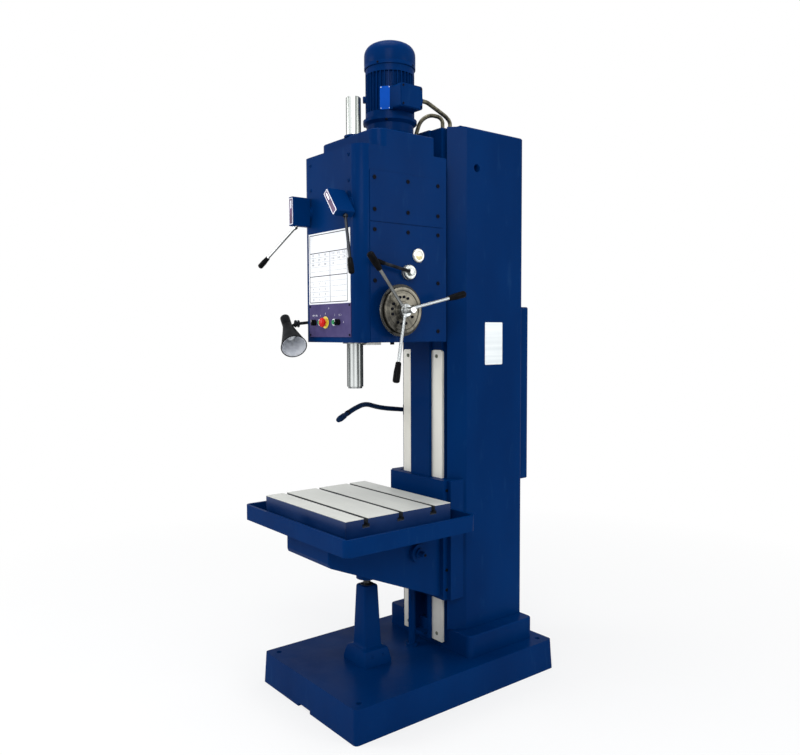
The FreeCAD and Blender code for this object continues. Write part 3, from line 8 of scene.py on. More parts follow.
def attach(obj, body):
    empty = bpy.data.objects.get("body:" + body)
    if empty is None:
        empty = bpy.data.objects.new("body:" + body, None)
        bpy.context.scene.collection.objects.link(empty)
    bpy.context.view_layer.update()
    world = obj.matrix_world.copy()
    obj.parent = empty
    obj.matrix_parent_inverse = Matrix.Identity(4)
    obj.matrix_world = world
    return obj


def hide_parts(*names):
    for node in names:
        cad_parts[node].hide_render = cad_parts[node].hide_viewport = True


# The machine's own frame comes first: one object for each cast, turned or bent piece, in metres.
# The origin is on the floor under the column's ways, with X to the machine's right and Y to the rear.
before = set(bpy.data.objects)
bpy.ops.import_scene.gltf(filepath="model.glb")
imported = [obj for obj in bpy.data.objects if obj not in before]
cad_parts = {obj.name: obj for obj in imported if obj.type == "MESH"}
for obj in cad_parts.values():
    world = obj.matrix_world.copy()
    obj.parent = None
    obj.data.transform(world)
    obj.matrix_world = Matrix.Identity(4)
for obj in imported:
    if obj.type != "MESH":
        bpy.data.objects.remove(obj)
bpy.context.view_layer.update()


# Base casting. A low plinth of grey iron with drafted sides and a raised seat for the column, cast in
# sand, filled, and painted in blue machine enamel. Four holes take the foundation bolts.
def shade(red, green, blue):
    """A colour as it is seen, each part from 0 to 255, in the linear numbers that a shader takes."""
    parts = []
    for seen in (red, green, blue):
        seen /= 255
        parts.append(seen / 12.92 if seen <= 0.04045 else ((seen + 0.055) / 1.055) ** 2.4)
    return (*parts, 1)


class Surface:
    """A finish under way: patterns in the piece's own coordinates, led into one shader."""

    def __init__(self, name, roughness, fixed=None):
        self.material = bpy.data.materials.new(name)
        self.material.use_nodes = True
        self.tree = self.material.node_tree
        self.shader = self.tree.nodes["Principled BSDF"]
        self.shader.inputs["Roughness"].default_value = roughness
        for socket, value in (fixed or {}).items():
            self.shader.inputs[socket].default_value = value
        self.place = self.tree.nodes.new("ShaderNodeTexCoord").outputs["Object"]

    def node(self, kind, inputs, **settings):
        """A node whose inputs are each a value or another node's output."""
        made = self.tree.nodes.new(kind)
        for field, value in settings.items():
            setattr(made, field, value)
        for socket, value in inputs.items():
            if isinstance(value, bpy.types.NodeSocket):
                self.tree.links.new(value, made.inputs[socket])
            else:
                made.inputs[socket].default_value = value
        return made

    def noise(self, scale, stretch=(1, 1, 1), detail=2.0):
        """An even mottle from 0 to 1. A stretch under 1 draws it out along that axis."""
        spread = self.node("ShaderNodeMapping", {"Vector": self.place, "Scale": stretch})
        texture = self.node("ShaderNodeTexNoise",
                            {"Vector": spread.outputs[0], "Scale": scale, "Detail": detail})
        return texture.outputs["Fac"]

    def span(self, value, low, high, start=0.0, end=1.0):
        """The value's stretch from low to high, told again as start to end."""
        told = self.node("ShaderNodeMapRange", {"Value": value, "From Min": low, "From Max": high,
                                                "To Min": start, "To Max": end})
        return told.outputs[0]

    def sum(self, first, second, operation="ADD"):
        return self.node("ShaderNodeMath", {0: first, 1: second}, operation=operation).outputs[0]

    def blend(self, share, first, second):
        """The first colour where the share is 0, and the second where it is 1."""
        mixed = self.tree.nodes.new("ShaderNodeMix")
        mixed.data_type = "RGBA"
        for socket, value in ((mixed.inputs[0], share), (mixed.inputs[6], first), (mixed.inputs[7], second)):
            if isinstance(value, bpy.types.NodeSocket):
                self.tree.links.new(value, socket)
            else:
                socket.default_value = value
        return mixed.outputs[2]

    def colour(self, source):
        self.tree.links.new(source, self.shader.inputs["Base Color"])

    def patches(self, scale, low=0.3, high=0.7, detail=2.0):
        """The mottle sharpened into patches: 0 where it is under low, and 1 where it is over high."""
        return self.span(self.noise(scale, detail=detail), low, high)

    def clouded(self, share, first, second):
        """Colours the surface from the first colour to the second as the share goes from 0 to 1."""
        self.colour(self.blend(share, first, second))

    def gloss(self, value, low, high):
        """Roughness from low to high as the value goes over its usual spread."""
        self.tree.links.new(self.span(value, 0.3, 0.7, low, high), self.shader.inputs["Roughness"])

    def relief(self, height, depth):
        """Raises the surface by the height's pattern, on top of any relief that is there."""
        bump = self.node("ShaderNodeBump", {"Height": height, "Distance": depth, "Strength": 1.0})
        normal = self.shader.inputs["Normal"]
        if normal.is_linked:
            self.tree.links.new(normal.links[0].from_socket, bump.inputs["Normal"])
        self.tree.links.new(bump.outputs[0], normal)


ENAMEL_DEEP = shade(0, 34, 81)
ENAMEL_CLEAR = shade(0, 43, 95)


def enamel(name, grain, unevenness):
    """Blue machine enamel, sprayed over filler: the coarser the casting, the more it waves."""
    paint = Surface(name, 0.4, {"Specular IOR Level": 0.01, "Coat Weight": 0.03, "Coat Roughness": 0.22})
    clouds = paint.noise(2.6, (1, 1, 0.45), 3)
    body = paint.blend(paint.span(clouds, 0.3, 0.7), ENAMEL_DEEP, ENAMEL_CLEAR)
    scuffs = paint.noise(34, (1, 1, 0.25), 5)
    body = paint.blend(paint.span(scuffs, 0.62, 0.8, 0, 0.16), body, shade(40, 78, 122))
    paint.colour(body)
    paint.gloss(paint.noise(9, detail=3), 0.32, 0.5)
    paint.relief(paint.noise(28, detail=2), unevenness)
    paint.relief(paint.noise(grain, detail=1), unevenness * 0.12)
    return paint.material


cast_enamel = enamel("cast_enamel", 420, 0.0007)


def dress(node, finish, edge=0.0):
    """Gives a piece of the frame its finish, and rounds its edges by a small radius."""
    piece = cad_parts[node]
    for slot in piece.material_slots:
        slot.material = finish
    if edge:
        weld = piece.modifiers.new("joined_corners", "WELD")
        weld.merge_threshold = 0.00001
        soft = piece.modifiers.new("rounded_edges", "BEVEL")
        soft.width = edge
        soft.segments = 2
        soft.limit_method = "ANGLE"
        soft.angle_limit = math.radians(38)
        soft.harden_normals = True
    return piece


dress("base_casting", cast_enamel, 0.004)


# Column. A grey-iron box with a rib up its middle, planed way bands beside it and chamfered front
# corners. Its broad sides are filled and rubbed down before the enamel, so they lie flatter.
plate_enamel = enamel("plate_enamel", 700, 0.0004)
for node in ("column", "column_top_cover"):
    dress(node, plate_enamel, 0.002)


def place_on(origin, right, up):
    """The matrix of a flat piece: its X runs to the right, its Y up, and its Z out of the surface."""
    right = Vector(right).normalized()
    out = right.cross(Vector(up)).normalized()
    up = out.cross(right)
    return Matrix.Translation(Vector(origin)) @ Matrix((right, up, out)).transposed().to_4x4()


def aimed(origin, direction, start=0.0):
    """The matrix of a turned piece: its Z runs in the direction. It starts a distance along it."""
    turn = Vector(direction).normalized().to_track_quat("Z", "X")
    return Matrix.Translation(Vector(origin)) @ turn.to_matrix().to_4x4() @ Matrix.Translation((0, 0, start))


def fit(name, shape, finish, body, slot, *stands_for):
    """Makes a shape a piece that rides on a body, in place of the nodes that it stands for."""
    bmesh.ops.remove_doubles(shape, verts=shape.verts, dist=0.000001)
    bmesh.ops.recalc_face_normals(shape, faces=shape.faces)
    mesh = bpy.data.meshes.new(name)
    shape.to_mesh(mesh)
    shape.free()
    return fit_mesh(name, mesh, finish, body, slot, *stands_for)


def fit_mesh(name, mesh, finish, body, slot, *stands_for):
    if finish:
        mesh.materials.clear()
        mesh.materials.append(finish)
    mesh.shade_smooth()
    mesh.set_sharp_from_angle(angle=math.radians(34))
    piece = bpy.data.objects.new(name, mesh)
    bpy.context.scene.collection.objects.link(piece)
    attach(piece, body)
    if stands_for:
        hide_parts(*stands_for)
    return piece


def outline(width, height, corner, steps=4):
    """The corners of a rectangle with rounded corners, about the origin, anticlockwise."""
    points = []
    for quarter in range(4):
        side = math.tau * (quarter + 0.5) / 4
        centre = Vector((math.copysign(width / 2 - corner, math.cos(side)),
                         math.copysign(height / 2 - corner, math.sin(side))))
        for step in range(steps + 1):
            angle = math.tau / 4 * (quarter + step / steps)
            points.append(centre + corner * Vector((math.cos(angle), math.sin(angle))))
    return points


def slab(shape, points, thickness, matrix, bevel=0.0):
    """A flat plate with its edge broken, raised from its outline along the matrix's Z."""
    middle = sum(points, Vector((0, 0))) / len(points)
    levels = [(0, 0), (thickness - bevel, 0), (thickness, bevel)] if bevel else [(0, 0), (thickness, 0)]
    rings = []
    for height, inset in levels:
        ring = []
        for point in points:
            inward = (middle - point).normalized() * inset
            ring.append(shape.verts.new(matrix @ Vector((point.x + inward.x, point.y + inward.y, height))))
        rings.append(ring)
    for low, high in zip(rings, rings[1:]):
        for n in range(len(points)):
            after = (n + 1) % len(points)
            shape.faces.new((low[n], low[after], high[after], high[n]))
    shape.faces.new(reversed(rings[0]))
    shape.faces.new(rings[-1])
    return shape


def turned(shape, profile, matrix, segments=40, flats=0):
    """A turned piece about the matrix's Z: the profile's points are radius and distance along it.
    A third number, from 0 to 1, cuts a ring towards a polygon with that many flats."""
    rings = []
    for radius, height, *flat in profile:
        if radius == 0:
            rings.append([shape.verts.new(matrix @ Vector((0, 0, height)))])
            continue
        ring = []
        for n in range(segments):
            angle = math.tau * n / segments
            reach = radius
            if flat and flats:
                side = math.tau / flats
                cut = math.cos(side / 2) / math.cos(angle % side - side / 2)
                reach *= 1 + flat[0] * (cut - 1)
            ring.append(shape.verts.new(matrix @ Vector((reach * math.cos(angle), reach * math.sin(angle),
                                                         height))))
        rings.append(ring)
    for low, high in zip(rings, rings[1:]):
        for n in range(segments):
            after = (n + 1) % segments
            corners = [low[n % len(low)], low[after % len(low)], high[after % len(high)], high[n % len(high)]]
            shape.faces.new([corner for k, corner in enumerate(corners) if corner not in corners[:k]])
    return shape


# The blank data plate: thin aluminium, riveted to the column's right side.
bare = Surface("plate_aluminium", 0.42, {"Metallic": 0.35})
brushed = bare.noise(60, (1, 0.02, 1), 4)
bare.clouded(bare.span(brushed, 0.3, 0.7), shade(214, 220, 222), shade(236, 240, 240))
bare.gloss(bare.noise(14), 0.35, 0.55)
bare.relief(brushed, 0.00004)
plate_aluminium = bare.material
data_plate = place_on((0.194, 0.2185, 1.370), (0, 1, 0), (0, 0, 1))
fit("column_data_plate", slab(bmesh.new(), outline(0.099, 0.172, 0.004), 0.0012, data_plate, 0.0003),
    plate_aluminium, "frame", "plate_metal")


def repeater():
    """Geometry Nodes that set a template on each point, facing and running as the point's own vectors say."""
    tree = bpy.data.node_groups.new("repeated_pieces", "GeometryNodeTree")
    for title, kind in (("Points", "NodeSocketGeometry"), ("Template", "NodeSocketObject"),
                        ("Size", "NodeSocketVector"), ("Finish", "NodeSocketMaterial")):
        tree.interface.new_socket(title, in_out="INPUT", socket_type=kind)
    tree.interface.new_socket("Pieces", in_out="OUTPUT", socket_type="NodeSocketGeometry")
    start = tree.nodes.new("NodeGroupInput")
    end = tree.nodes.new("NodeGroupOutput")
    template = tree.nodes.new("GeometryNodeObjectInfo")
    tree.links.new(start.outputs["Template"], template.inputs["Object"])
    turn = None
    for axis, attribute in (("Z", "facing"), ("X", "running")):
        vector = tree.nodes.new("GeometryNodeInputNamedAttribute")
        vector.data_type = "FLOAT_VECTOR"
        vector.inputs["Name"].default_value = attribute
        align = tree.nodes.new("FunctionNodeAlignRotationToVector")
        align.axis = axis
        if turn:
            align.pivot_axis = "Z"
            tree.links.new(turn, align.inputs["Rotation"])
        tree.links.new(vector.outputs["Attribute"], align.inputs["Vector"])
        turn = align.outputs["Rotation"]
    copies = tree.nodes.new("GeometryNodeInstanceOnPoints")
    real = tree.nodes.new("GeometryNodeRealizeInstances")
    coat = tree.nodes.new("GeometryNodeSetMaterial")
    tree.links.new(start.outputs["Points"], copies.inputs["Points"])
    tree.links.new(template.outputs["Geometry"], copies.inputs["Instance"])
    tree.links.new(turn, copies.inputs["Rotation"])
    tree.links.new(start.outputs["Size"], copies.inputs["Scale"])
    tree.links.new(copies.outputs["Instances"], real.inputs["Geometry"])
    tree.links.new(real.outputs["Geometry"], coat.inputs["Geometry"])
    tree.links.new(start.outputs["Finish"], coat.inputs["Material"])
    tree.links.new(coat.outputs["Geometry"], end.inputs["Pieces"])
    return tree


repeated_pieces = repeater()


def template(name, shape):
    """A hidden pattern piece of unit size, for Geometry Nodes to copy."""
    bmesh.ops.recalc_face_normals(shape, faces=shape.faces)
    mesh = bpy.data.meshes.new(name)
    shape.to_mesh(mesh)
    shape.free()
    return bpy.data.objects.new(name, mesh)


def repeat(name, pattern, size, spots, finish, body, slot):
    """One piece made of a template's copies. Each spot is a place, the way it faces and the way it runs."""
    mesh = bpy.data.meshes.new(name)
    mesh.from_pydata([tuple(place) for place, facing, running in spots], [], [])
    for k, attribute in ((1, "facing"), (2, "running")):
        values = mesh.attributes.new(attribute, "FLOAT_VECTOR", "POINT")
        values.data.foreach_set("vector", [part for spot in spots for part in Vector(spot[k])])
    carrier = bpy.data.objects.new(name + "_points", mesh)
    bpy.context.scene.collection.objects.link(carrier)
    nodes = carrier.modifiers.new("repeated_pieces", "NODES")
    nodes.node_group = repeated_pieces
    named = {socket.name: socket.identifier for socket in repeated_pieces.interface.items_tree}
    for title, value in (("Template", pattern), ("Size", size), ("Finish", finish)):
        nodes[named[title]] = value
    shown = carrier.evaluated_get(bpy.context.evaluated_depsgraph_get())
    made = bpy.data.meshes.new_from_object(shown)
    made.name = name
    carrier.modifiers.remove(nodes)
    bpy.data.objects.remove(carrier)
    return fit_mesh(name, made, finish, body, slot)


# Screws: blackened socket screws, sunk or proud, one unit in radius and height
oxide = Surface("black_oxide", 0.42, {"Specular IOR Level": 0.02})
oxide.clouded(oxide.noise(180), shade(9, 11, 17), shade(24, 27, 36))
oxide.gloss(oxide.noise(300), 0.34, 0.55)
black_oxide = oxide.material
SOCKET = ((0, 0.42), (0.5, 0.42, 1), (0.5, 1, 1), (0.86, 1), (1, 0.86), (1, 0), (0, 0))
socket_screw = template("socket_screw", turned(bmesh.new(), SOCKET, Matrix(), 24, 6))
HEXAGON = ((0, 1), (0.8, 1), (0.98, 0.9, 1), (1, 0.2, 1), (1, 0.12, 1), (1.16, 0.12), (1.16, 0), (0, 0))
hexagon_bolt = template("hexagon_bolt", turned(bmesh.new(), HEXAGON, Matrix(), 24, 6))
RIVET = ((0, 1), (0.45, 0.9), (0.8, 0.55), (1, 0), (0, 0))
rivet = template("rivet", turned(bmesh.new(), RIVET, Matrix(), 12))
RIGHT, LEFT, FRONT, BACK, UP, DOWN = ((1, 0, 0), (-1, 0, 0), (0, -1, 0), (0, 1, 0), (0, 0, 1), (0, 0, -1))
repeat("column_plate_rivets", rivet, (0.0025, 0.0025, 0.0012),
       [((0.1951, 0.2185 + across, 1.370 + up), RIGHT, UP) for across in (-0.043, 0.043)
        for up in (-0.079, 0.079)],
       plate_aluminium, "frame", "plate_metal")
repeat("column_cover_screws", socket_screw, (0.006, 0.006, 0.004),
       [((across, along, 2.2239), UP, BACK) for across in (-0.155, 0.155) for along in (0.070, 0.211, 0.352)],
       black_oxide, "frame", "black_steel")


# Way strips. Two hardened steel strips let into the way bands, ground along their length, and screwed
# down at their ends. The saddle's slides bear on them.
ground = Surface("ground_strip", 0.42, {"Metallic": 0.25})
grain = ground.noise(240, (1, 1, 0.012), 4)
wipe = ground.noise(5, (1, 1, 0.5), 3)
ground.clouded(ground.span(wipe, 0.3, 0.7), ground.blend(grain, shade(198, 195, 183), shade(214, 212, 203)),
               ground.blend(grain, shade(208, 206, 198), shade(224, 223, 216)))
ground.gloss(grain, 0.36, 0.52)
ground.relief(grain, 0.00003)
ground_strip = ground.material
for side in ("left_way_strip", "right_way_strip"):
    dress(side, ground_strip, 0.001)
dull = Surface("dull_screw_steel", 0.5, {"Specular IOR Level": 0.1})
dull.clouded(dull.noise(200), shade(88, 92, 82), shade(122, 126, 112))
dull.relief(dull.noise(500), 0.00003)
STRIP_MIDDLE = 0.0911
repeat("way_strip_screws", socket_screw, (0.0075, 0.0075, 0.002),
       [((across, -0.0003, up), FRONT, UP) for across in (-STRIP_MIDDLE, STRIP_MIDDLE)
        for up in (0.185, 0.760, 1.3205)], dull.material, "frame", "ground_steel")


# Electrical cabinet. A folded steel box hung on the rear of the column, with a hinged door, a
# quarter-turn lock and pressed louvres.
for node in ("electrical_cabinet", "cabinet_door"):
    dress(node, plate_enamel, 0.001)
louvre = template("louvre", slab(bmesh.new(),
                                 [Vector(p) for p in ((-0.5, -0.5), (0.5, -0.5), (0.42, 0.5), (-0.42, 0.5))],
                                 1, Matrix(), 0.3))
repeat("cabinet_louvres", louvre, (0.150, 0.009, 0.003),
       [((0, 0.4829, 1.36 + 0.019 * n), BACK, LEFT) for n in range(6)], plate_enamel, "frame", "blue_enamel")
hinges = bmesh.new()
for up in (0.90, 1.40):
    turned(hinges, ((0, 0), (0.006, 0), (0.006, 0.06), (0, 0.06)), aimed((-0.132, 0.4845, up - 0.03), UP), 16)
fit("cabinet_hinges", hinges, black_oxide, "frame", "black_steel")
lock = turned(bmesh.new(), ((0, 0.010), (0.004, 0.010), (0.004, 0.008), (0.011, 0.008), (0.013, 0.005),
                            (0.014, 0), (0, 0)), aimed((0.108, 0.483, 1.15), BACK), 24)
fit("cabinet_lock", lock, black_oxide, "frame", "black_steel")


# Head. The gearbox casting bolts to the column's ways; a cover with rounded corners closes its front,
# and screwed steel plates close its sides. All of it is painted with the machine.
head_enamel = enamel("head_enamel", 620, 0.00045)
for node, edge in (("head_body", 0.002), ("head_front_cover", 0.002), ("upper_side_cover", 0.0007),
                   ("lower_side_cover", 0.0007), ("left_side_covers", 0.0007)):
    dress(node, head_enamel, edge)
SIDE_FACE = 0.193
COVER_SCREWS = [(-0.381, 1.970), (-0.228, 1.970), (-0.082, 1.970), (-0.381, 1.857), (-0.228, 1.857),
                (-0.082, 1.857), (-0.381, 1.785), (-0.228, 1.785), (-0.082, 1.785), (-0.381, 1.603),
                (-0.082, 1.603), (-0.082, 1.420)]
repeat("right_cover_screws", socket_screw, (0.0075, 0.0075, 0.0035),
       [((SIDE_FACE - 0.0002, along, up), RIGHT, UP) for along, up in COVER_SCREWS], black_oxide, "frame",
       "black_steel")
repeat("left_cover_screws", socket_screw, (0.0075, 0.0075, 0.0035),
       [((0.0002 - SIDE_FACE, along, up), LEFT, UP) for along, up in COVER_SCREWS], black_oxide, "frame",
       "black_steel")
repeat("front_cover_screws", socket_screw, (0.006, 0.006, 0.003),
       [((across, -0.4479, up), FRONT, UP) for across in (-0.128, 0.128) for up in (2.052, 1.960)],
       head_enamel, "frame", "blue_enamel")


# Motor. A finned aluminium frame stands on a cast adapter; a pressed cowl covers its fan, with a ring
# grille for the air. Bolts hold the adapter, and the rating plate is left blank.
motor_enamel = enamel("motor_enamel", 520, 0.0003)
for node, edge in (("motor_flange", 0), ("motor_body", 0), ("motor_terminal_box", 0.001)):
    dress(node, motor_enamel, edge)
MOTOR_Y = -0.161


def ring_spots(centre, radius, count, first, across, up, facing=None):
    """Places round a circle. Each faces as told, or straight out from the centre, and runs outwards."""
    centre, across, up = Vector(centre), Vector(across), Vector(up)
    spots = []
    for n in range(count):
        angle = math.radians(first) + math.tau * n / count
        outward = across * math.cos(angle) + up * math.sin(angle)
        spots.append((centre + outward * radius, facing or outward, outward if facing else across.cross(up)))
    return spots


repeat("motor_foot_bolts", hexagon_bolt, (0.0075, 0.0075, 0.007),
       ring_spots((0, MOTOR_Y, 2.172), 0.0985, 6, 20, RIGHT, BACK, UP), black_oxide, "frame", "black_steel")
repeat("motor_frame_bolts", hexagon_bolt, (0.007, 0.007, 0.006),
       ring_spots((0, MOTOR_Y, 2.2265), 0.0975, 4, 45, RIGHT, BACK, DOWN), black_oxide, "frame",
       "black_steel")
cowl = turned(bmesh.new(), (
    (0.0975, 2.4325), (0.100, 2.4335), (0.100, 2.4435), (0.0994, 2.4455), (0.0994, 2.448), (0.100, 2.450),
    (0.100, 2.484), (0.0992, 2.4925), (0.0968, 2.5005), (0.0926, 2.5085), (0.0868, 2.5155), (0.0796, 2.521),
    (0.071, 2.5255), (0.063, 2.5288), (0.059, 2.530), (0.0565, 2.530), (0.0555, 2.5285), (0.0555, 2.519),
    (0, 2.519)), Matrix.Translation((0, MOTOR_Y, 0)), 72)
fit("fan_cowl", cowl, motor_enamel, "frame", "blue_enamel", "motor_fan_cowl")
grille = bmesh.new()
GRILLE_Z = 2.5272
for ring in range(6):
    inner = 0.011 + 0.008 * ring
    turned(grille, ((inner, GRILLE_Z), (inner + 0.0028, GRILLE_Z), (inner + 0.0028, 2.5298), (inner, 2.5298),
                    (inner, GRILLE_Z)), Matrix.Translation((0, MOTOR_Y, 0)), 48)
turned(grille, ((0, GRILLE_Z), (0.0075, GRILLE_Z), (0.0075, 2.53), (0, 2.53)),
       Matrix.Translation((0, MOTOR_Y, 0)), 24)
fit("fan_grille_rings", grille, motor_enamel, "frame", "blue_enamel")
bar = template("bar", slab(bmesh.new(), outline(1, 1, 0.1, 1), 1, Matrix()))
repeat("fan_grille_spokes", bar, (0.051, 0.003, 0.0024),
       ring_spots((0, MOTOR_Y, 2.5268), 0.030, 6, 0, RIGHT, BACK, UP), motor_enamel, "frame", "blue_enamel")
repeat("fan_cowl_screws", socket_screw, (0.004, 0.004, 0.0022),
       ring_spots((0, MOTOR_Y, 2.4390), 0.0998, 4, 25, RIGHT, BACK), black_oxide, "frame", "black_steel")

# The rating plate, the eye bolt's boss and the terminal box's lid
clear_blue = Surface("rating_plate_enamel", 0.35, {"Specular IOR Level": 0.04})
clear_blue.clouded(clear_blue.noise(25), shade(0, 66, 158), shade(6, 80, 182))
clear_blue.gloss(clear_blue.noise(40), 0.3, 0.45)
clear_blue.relief(clear_blue.noise(300), 0.00005)
facing_out = Vector((0.666, -0.746, 0)).normalized()
rating = place_on(Vector((0, MOTOR_Y, 2.3035)) + facing_out * 0.0945, Vector(UP).cross(facing_out), UP)
fit("motor_rating_plate", slab(bmesh.new(), outline(0.041, 0.087, 0.004), 0.0035, rating, 0.0005),
    clear_blue.material, "frame", "plate_metal")
across = Vector(UP).cross(facing_out)
repeat("rating_plate_rivets", rivet, (0.0019, 0.0019, 0.001),
       [(Vector((0, MOTOR_Y, 2.3035 + rise)) + facing_out * 0.0979 + across * aside, facing_out, UP)
        for aside in (-0.016, 0.016) for rise in (-0.039, 0.039)], plate_aluminium, "frame", "plate_metal")
boss = turned(bmesh.new(), ((0, -0.012), (0.0135, -0.012), (0.0135, 0.008), (0.0115, 0.0105), (0.005, 0.0105),
                            (0.005, 0.006), (0, 0.006)),
              aimed((-0.0588, -0.2356, 2.3225), (-0.619, -0.785, 0)), 28)
fit("motor_eye_boss", boss, motor_enamel, "frame", "blue_enamel")
BOX_Z = 2.3015
lid = place_on((0.1445, -0.169, BOX_Z), BACK, UP)
fit("terminal_box_lid", slab(bmesh.new(), outline(0.101, 0.082, 0.009), 0.004, lid, 0.001),
    motor_enamel, "frame", "blue_enamel")
repeat("terminal_lid_screws", socket_screw, (0.0042, 0.0042, 0.002),
       [((0.1483, -0.169 + aside, BOX_Z + rise), RIGHT, UP) for aside in (-0.043, 0.043)
        for rise in (-0.033, 0.033)],
       black_oxide, "frame", "black_steel")


# Conduits. Two flexible metal conduits, strip-wound over the wires, run from the terminal box and the
# head to hexagon glands on the column's top. Each turn of the winding shows as a rib.
def bent_path(points, share=0.45, steps=9):
    """Points along straight runs with an arc at each bend, as the tube in the frame has them."""
    points = [Vector(point) for point in points]
    path = [points[0]]
    for before, here, after in zip(points, points[1:], points[2:]):
        inward, outward = (before - here).normalized(), (after - here).normalized()
        reach = share * min((before - here).length, (after - here).length)
        half = (math.pi - inward.angle(outward)) / 2
        bend = reach / math.tan(half)
        centre = here + (inward + outward).normalized() * (bend / math.cos(half))
        start, stop = here + inward * reach - centre, here + outward * reach - centre
        for step in range(steps + 1):
            turn = 2 * half
            path.append(centre + (start * math.sin((1 - step / steps) * turn) +
                                  stop * math.sin(step / steps * turn)) / math.sin(turn))
    return path + [points[-1]]


def along_path(path, pitch):
    """Places at an even pitch along a path, each facing down it."""
    spots, travelled, due = [], 0.0, pitch / 2
    for start, stop in zip(path, path[1:]):
        run = (stop - start).length
        while due <= travelled + run:
            way = (stop - start).normalized()
            spots.append((start + way * (due - travelled), way, way.orthogonal()))
            due += pitch
        travelled += run
    return spots


GLAND_Y = 0.082
wound = Surface("wound_conduit", 0.4, {"Metallic": 0.75})
wound.clouded(wound.patches(60, detail=3), shade(58, 56, 46), shade(112, 108, 90))
wound.gloss(wound.noise(120), 0.3, 0.5)
wound.relief(wound.noise(500), 0.0001)
wound_conduit = wound.material
for node in ("conduit_upper", "conduit_lower"):
    dress(node, wound_conduit)
RIB = ((0.90, -0.42), (1.06, -0.30), (1.10, 0), (1.06, 0.30), (0.90, 0.42), (0.90, -0.42))
rib = template("conduit_rib", turned(bmesh.new(), RIB, Matrix(), 20))
CONDUIT_RADIUS = 0.0075
CONDUITS = {
    "upper": ((0.120, -0.104, BOX_Z), (0.120, -0.074, BOX_Z), (0.106, -0.012, 2.2875),
              (0.084, 0.056, 2.276), (0.080, GLAND_Y, 2.260), (0.080, GLAND_Y, 2.236)),
    "lower": ((0, -0.038, 2.092), (0, -0.038, 2.188), (0.008, -0.014, 2.264), (0.018, 0.028, 2.294),
              (0.035, GLAND_Y, 2.286), (0.035, GLAND_Y, 2.236)),
}
for name, points in CONDUITS.items():
    repeat(f"{name}_conduit_ribs", rib, (CONDUIT_RADIUS, CONDUIT_RADIUS, 0.0042),
           along_path(bent_path(points), 0.0042), wound_conduit, "frame", "conduit_metal")
NUT = ((0.55, 0), (1, 0, 1), (1, 0.75, 1), (0.8, 0.8), (0.8, 1), (0.62, 1.1), (0.55, 1.1), (0.55, 0))
gland_nut = template("gland_nut", turned(bmesh.new(), NUT, Matrix(), 24, 6))
repeat("conduit_glands", gland_nut, (0.0155, 0.0155, 0.011),
       [((0.120, -0.1145, BOX_Z), BACK, UP), ((0.080, GLAND_Y, 2.2255), UP, BACK),
        ((0.035, GLAND_Y, 2.2255), UP, BACK),
        ((0, -0.038, 2.0815), UP, BACK)], black_oxide, "frame", "conduit_metal")


# Spindle line. The ground steel quill slides in the head with the spindle turning in it; a polished
# tube over the crown guards the spindle's top end.
SPINDLE_Y = -0.335


def painted_reflection_steel(name, dull, bright, roughness, centre=(0, SPINDLE_Y, 0), way=UP, fine=-0.4):
    """Steel ground on an axis, with fine rings round it and painted reflections along it: bright bands where
    it faces one fixed way and the opposite way, and dark bands on its sides between. What is given as fine
    weighs the narrow bands among the broad ones."""
    steel = Surface(name, roughness, {"Metallic": 0.9})
    way = Vector(way)
    first = Vector((0.70, -0.71, 0))
    first = (first - way * first.dot(way)).normalized()
    from_centre = steel.node("ShaderNodeVectorMath", {0: steel.place, 1: tuple(centre)}, operation="SUBTRACT")
    reach = [steel.node("ShaderNodeVectorMath", {0: from_centre.outputs[0], 1: tuple(side)},
                        operation="DOT_PRODUCT").outputs[1] for side in (first, way.cross(first))]
    angle = steel.sum(reach[1], reach[0], "ARCTAN2")
    broad_reflection = steel.sum(steel.sum(angle, 2, "MULTIPLY"), 0, "COSINE")
    narrow_reflection = steel.sum(steel.sum(steel.sum(angle, 12, "MULTIPLY"), 0, "COSINE"), fine, "MULTIPLY")
    clouds = steel.noise(9, (1, 1, 0.3), 2)
    painted_reflection_bands = steel.sum(steel.sum(broad_reflection, narrow_reflection), steel.sum(clouds, -0.5))
    steel.clouded(steel.span(painted_reflection_bands, 0.0, 1.05), dull, bright)
    steel.gloss(clouds, roughness * 0.8, roughness * 1.25)
    steel.relief(steel.noise(420, (0.02, 0.02, 1), 2), 0.000002)
    return steel.material


# The quill, the guard tube and the spindle carry painted reflections: bright bands and dark edges.
quill_steel = painted_reflection_steel("quill_steel", shade(62, 66, 66), shade(230, 234, 233), 0.24)
tube_steel = painted_reflection_steel("tube_steel", shade(134, 139, 134), shade(226, 230, 228), 0.24)
bore_steel = painted_reflection_steel("spindle_steel", shade(74, 77, 79), shade(176, 179, 180), 0.3)
dress("quill", quill_steel)
dress("spindle_guard_tube", tube_steel)
dress("spindle", bore_steel)
collar = turned(bmesh.new(),
                ((0.0288, 2.150), (0.036, 2.150), (0.036, 2.156), (0.034, 2.158), (0.0288, 2.158),
                 (0.0288, 2.150)), Matrix.Translation((0, SPINDLE_Y, 0)), 48)
fit("guard_tube_collar", collar, head_enamel, "frame", "blue_enamel")
seal = turned(bmesh.new(),
              ((0.0325, 1.3745), (0.046, 1.3745), (0.047, 1.3755), (0.047, 1.380), (0.0325, 1.380),
               (0.0325, 1.3745)), Matrix.Translation((0, SPINDLE_Y, 0)), 48)
fit("quill_seal_ring", seal, bore_steel, "frame", "ground_steel")
pad = slab(bmesh.new(), outline(0.040, 0.078, 0.004), 0.012, place_on((0, -0.262, 1.3802), RIGHT, FRONT),
           0.001)
fit("quill_stop_pad", pad, ground_strip, "frame", "ground_steel")
repeat("head_drain_plug", hexagon_bolt, (0.009, 0.009, 0.011), [((0.060, -0.201, 1.3802), DOWN, BACK)],
       black_oxide, "frame", "black_steel")


